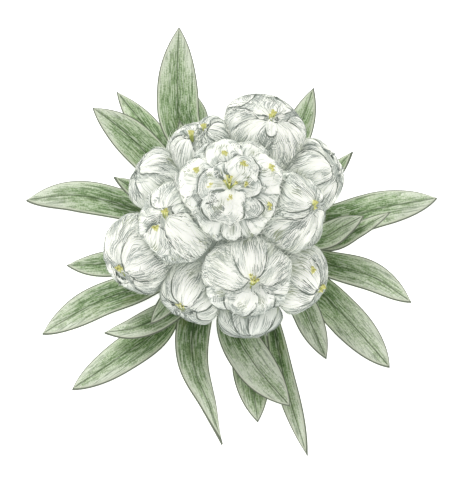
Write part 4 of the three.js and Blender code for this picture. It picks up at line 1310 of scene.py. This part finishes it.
for head in heads:
    for index, (clock, from_mouth, width) in enumerate(head.florets):
        tuft = Sheaf()
        middle = head.direction(clock, from_mouth, 0.0)
        foot = head.centre + middle * (0.94 * head.radius + swelling(head, middle))
        first, second = crosswise(middle)
        count = int(2 + width * 3)
        for k in range(count):
            out = FLORET_SPREAD * width * math.sqrt(k / count)
            angle = k * GOLDEN_TURN + rng.uniform(-0.4, 0.4)
            spread = first * math.cos(angle) + second * math.sin(angle)
            fan = 1.7 * spread * (0.1 + out) if width > STAR_WIDTH else 0.5 * spread * out
            tilt = unit(middle + fan + FLORET_LEAN * rng.uniform(0.7, 1.2))
            tube = floret_tube(foot + spread * out, tilt, rng.uniform(0.13, 0.19),
                               rng.uniform(0.55, 0.8), rng.uniform(0, 6))
            tuft.add(tube, wrap=True, along=TUBE_COLOUR[:, None], number=rng.uniform(0, 90))
        tuft.piece(f"florets_{head.name}_{index + 1}", FLORET)
print("tufts built:", sum(len(head.florets) for head in heads))

# %% [markdown]
# ## Stem, dome and the wool between the heads
# The stub of stem and the dome that carries the heads are turned forms. Matted wool fills the
# room between the heads, so the dome swells outwards there and is combed with strands. It is
# painted the darkest wool of all, as shade, because little light gets down to it.

# %% Form of the stem and the dome
STEM_PROFILE = np.array([(0.01, 0.5), (1.9, 0.5), (2.0, 0.62), (2.0, 5.0), (2.8, 5.9)])
DOME_RADIUS, DOME_SHOULDER = 6.2, 40
FILLING_REACH = 8.6              # how far the matted wool fills the room between heads
FILLING_TURN = 22                # degrees below the dome's centre over which it builds up


def dome_point(rise, turn, stand_off=0.0):
    """A point of the dome with its filling of wool, at this angle above its centre."""
    rise, turn = np.broadcast_arrays(np.radians(rise), np.radians(turn))
    filled = np.clip((np.degrees(rise) + FILLING_TURN) / FILLING_TURN, 0, 1)
    filled = filled * filled * (3 - 2 * filled)
    reach = DOME_RADIUS + (FILLING_REACH - DOME_RADIUS) * filled + stand_off
    return DOME_CENTRE + reach[..., None] * np.stack([
        np.cos(rise) * np.cos(turn), np.cos(rise) * np.sin(turn), np.sin(rise)], axis=-1)


def stem_grid():
    turn = turns(90)[None]
    out, height = STEM_PROFILE[:, :1], STEM_PROFILE[:, 1:]
    straight = np.stack([out * np.cos(np.radians(turn)), out * np.sin(np.radians(turn)),
                         height + 0 * turn], axis=-1)
    rise = np.linspace(-DOME_SHOULDER, 89.5, 45)[:, None]
    return np.concatenate([straight, dome_point(rise, turn)])


print("dome radius", DOME_RADIUS, "mm, with its filling of wool", FILLING_REACH, "mm")

# %% Comb the filling and build the stem
FILLING_STRANDS = 700            # times the strands to a square millimetre


def comb_filling(count):
    """Strands over the part of the dome and its filling that no head covers."""
    rise = np.degrees(np.arcsin(rng.uniform(-0.6, 1, (count, 1))))
    turn, angle = rng.uniform(0, 360, (count, 1)), rng.uniform(0, 2 * np.pi, (count, 1))
    length = STRAND * rng.uniform(6, 16, (count, 1))
    around = turn + length * np.cos(angle) / np.cos(np.radians(np.minimum(rise, 70)))
    paths = dome_point(rise + length * np.sin(angle), around,
                       0.03 + 0.5 * STRAND * rng.random((count, 1)))
    gap = gaps(paths, heads).min(axis=0)
    seen = gap.max(axis=1) > -0.15
    paths, deep_shade = paths[seen], np.exp(-np.maximum(gap[seen], 0) / 0.7)
    # Strands close to a head are painted darker, as shade.
    tone = grey_or_white(0.45, (0.0, 0.4), (0.5, 0.95), len(paths)) * (1 - 0.3 * deep_shade)
    return strands(paths, unit(paths - DOME_CENTRE), tone, 0.3 + 0.2 * deep_shade, (0.07, 0.14), 0.5)


stem = Sheaf()
grid = stem_grid()
# The dome is painted darker near the heads, as shade.
near = np.exp(-np.maximum(gaps(grid, heads).min(axis=0), 0) / 0.9)
stem.add(grid, wrap=True, tone=0.74 - 0.4 * near, moss=0.15, inset_mm=1.0)
grids, numbers = comb_filling(int(STRANDS_PER_SQUARE_MM * FILLING_STRANDS))
stem.add(grids, **numbers)
stem.piece("stem", WOOL)
print("stem built with", len(grids), "strands")

# %% [markdown]
# ## Floor and light
# The plate is drawn on white paper with hardly any shadow. A pale floor that glows a little
# stands in for the paper. A bright, even surround gives the soft shading in the folds, and a
# broad weak sun from the upper left gives the forms a side that is slightly darker.

# %% Floor, surround and key light
FLOOR_REACH = 3.0
floor_mesh = bpy.data.meshes.new("floor")
floor_mesh.from_pydata([(x * FLOOR_REACH, y * FLOOR_REACH, -0.00002) for x, y in
                        ((-1, -1), (1, -1), (1, 1), (-1, 1))], [], [(0, 1, 2, 3)])
floor_mesh.materials.append(Finish("plain_pale_floor").surface(
    Base_Color=paint("#fbfbfa"), Roughness=0.9, Emission_Color=paint("#ffffff"),
    Emission_Strength=0.8))
floor = put("floor", floor_mesh)

world = bpy.data.worlds.new("soft_surround")
world.use_nodes = True
background = world.node_tree.nodes["Background"].inputs
background["Color"].default_value, background["Strength"].default_value = (1, 1, 1, 1), 0.65
bpy.context.scene.world = world

key = bpy.data.lights.new("key", "SUN")
key.energy, key.angle = 1.15, math.radians(22)
put("key", key).rotation_euler = (math.radians(-33), math.radians(-22), 0)
bpy.context.scene.view_settings.view_transform = "Standard"
print("stage set: floor", 2 * FLOOR_REACH, "m wide, sun of strength", round(key.energy, 2))
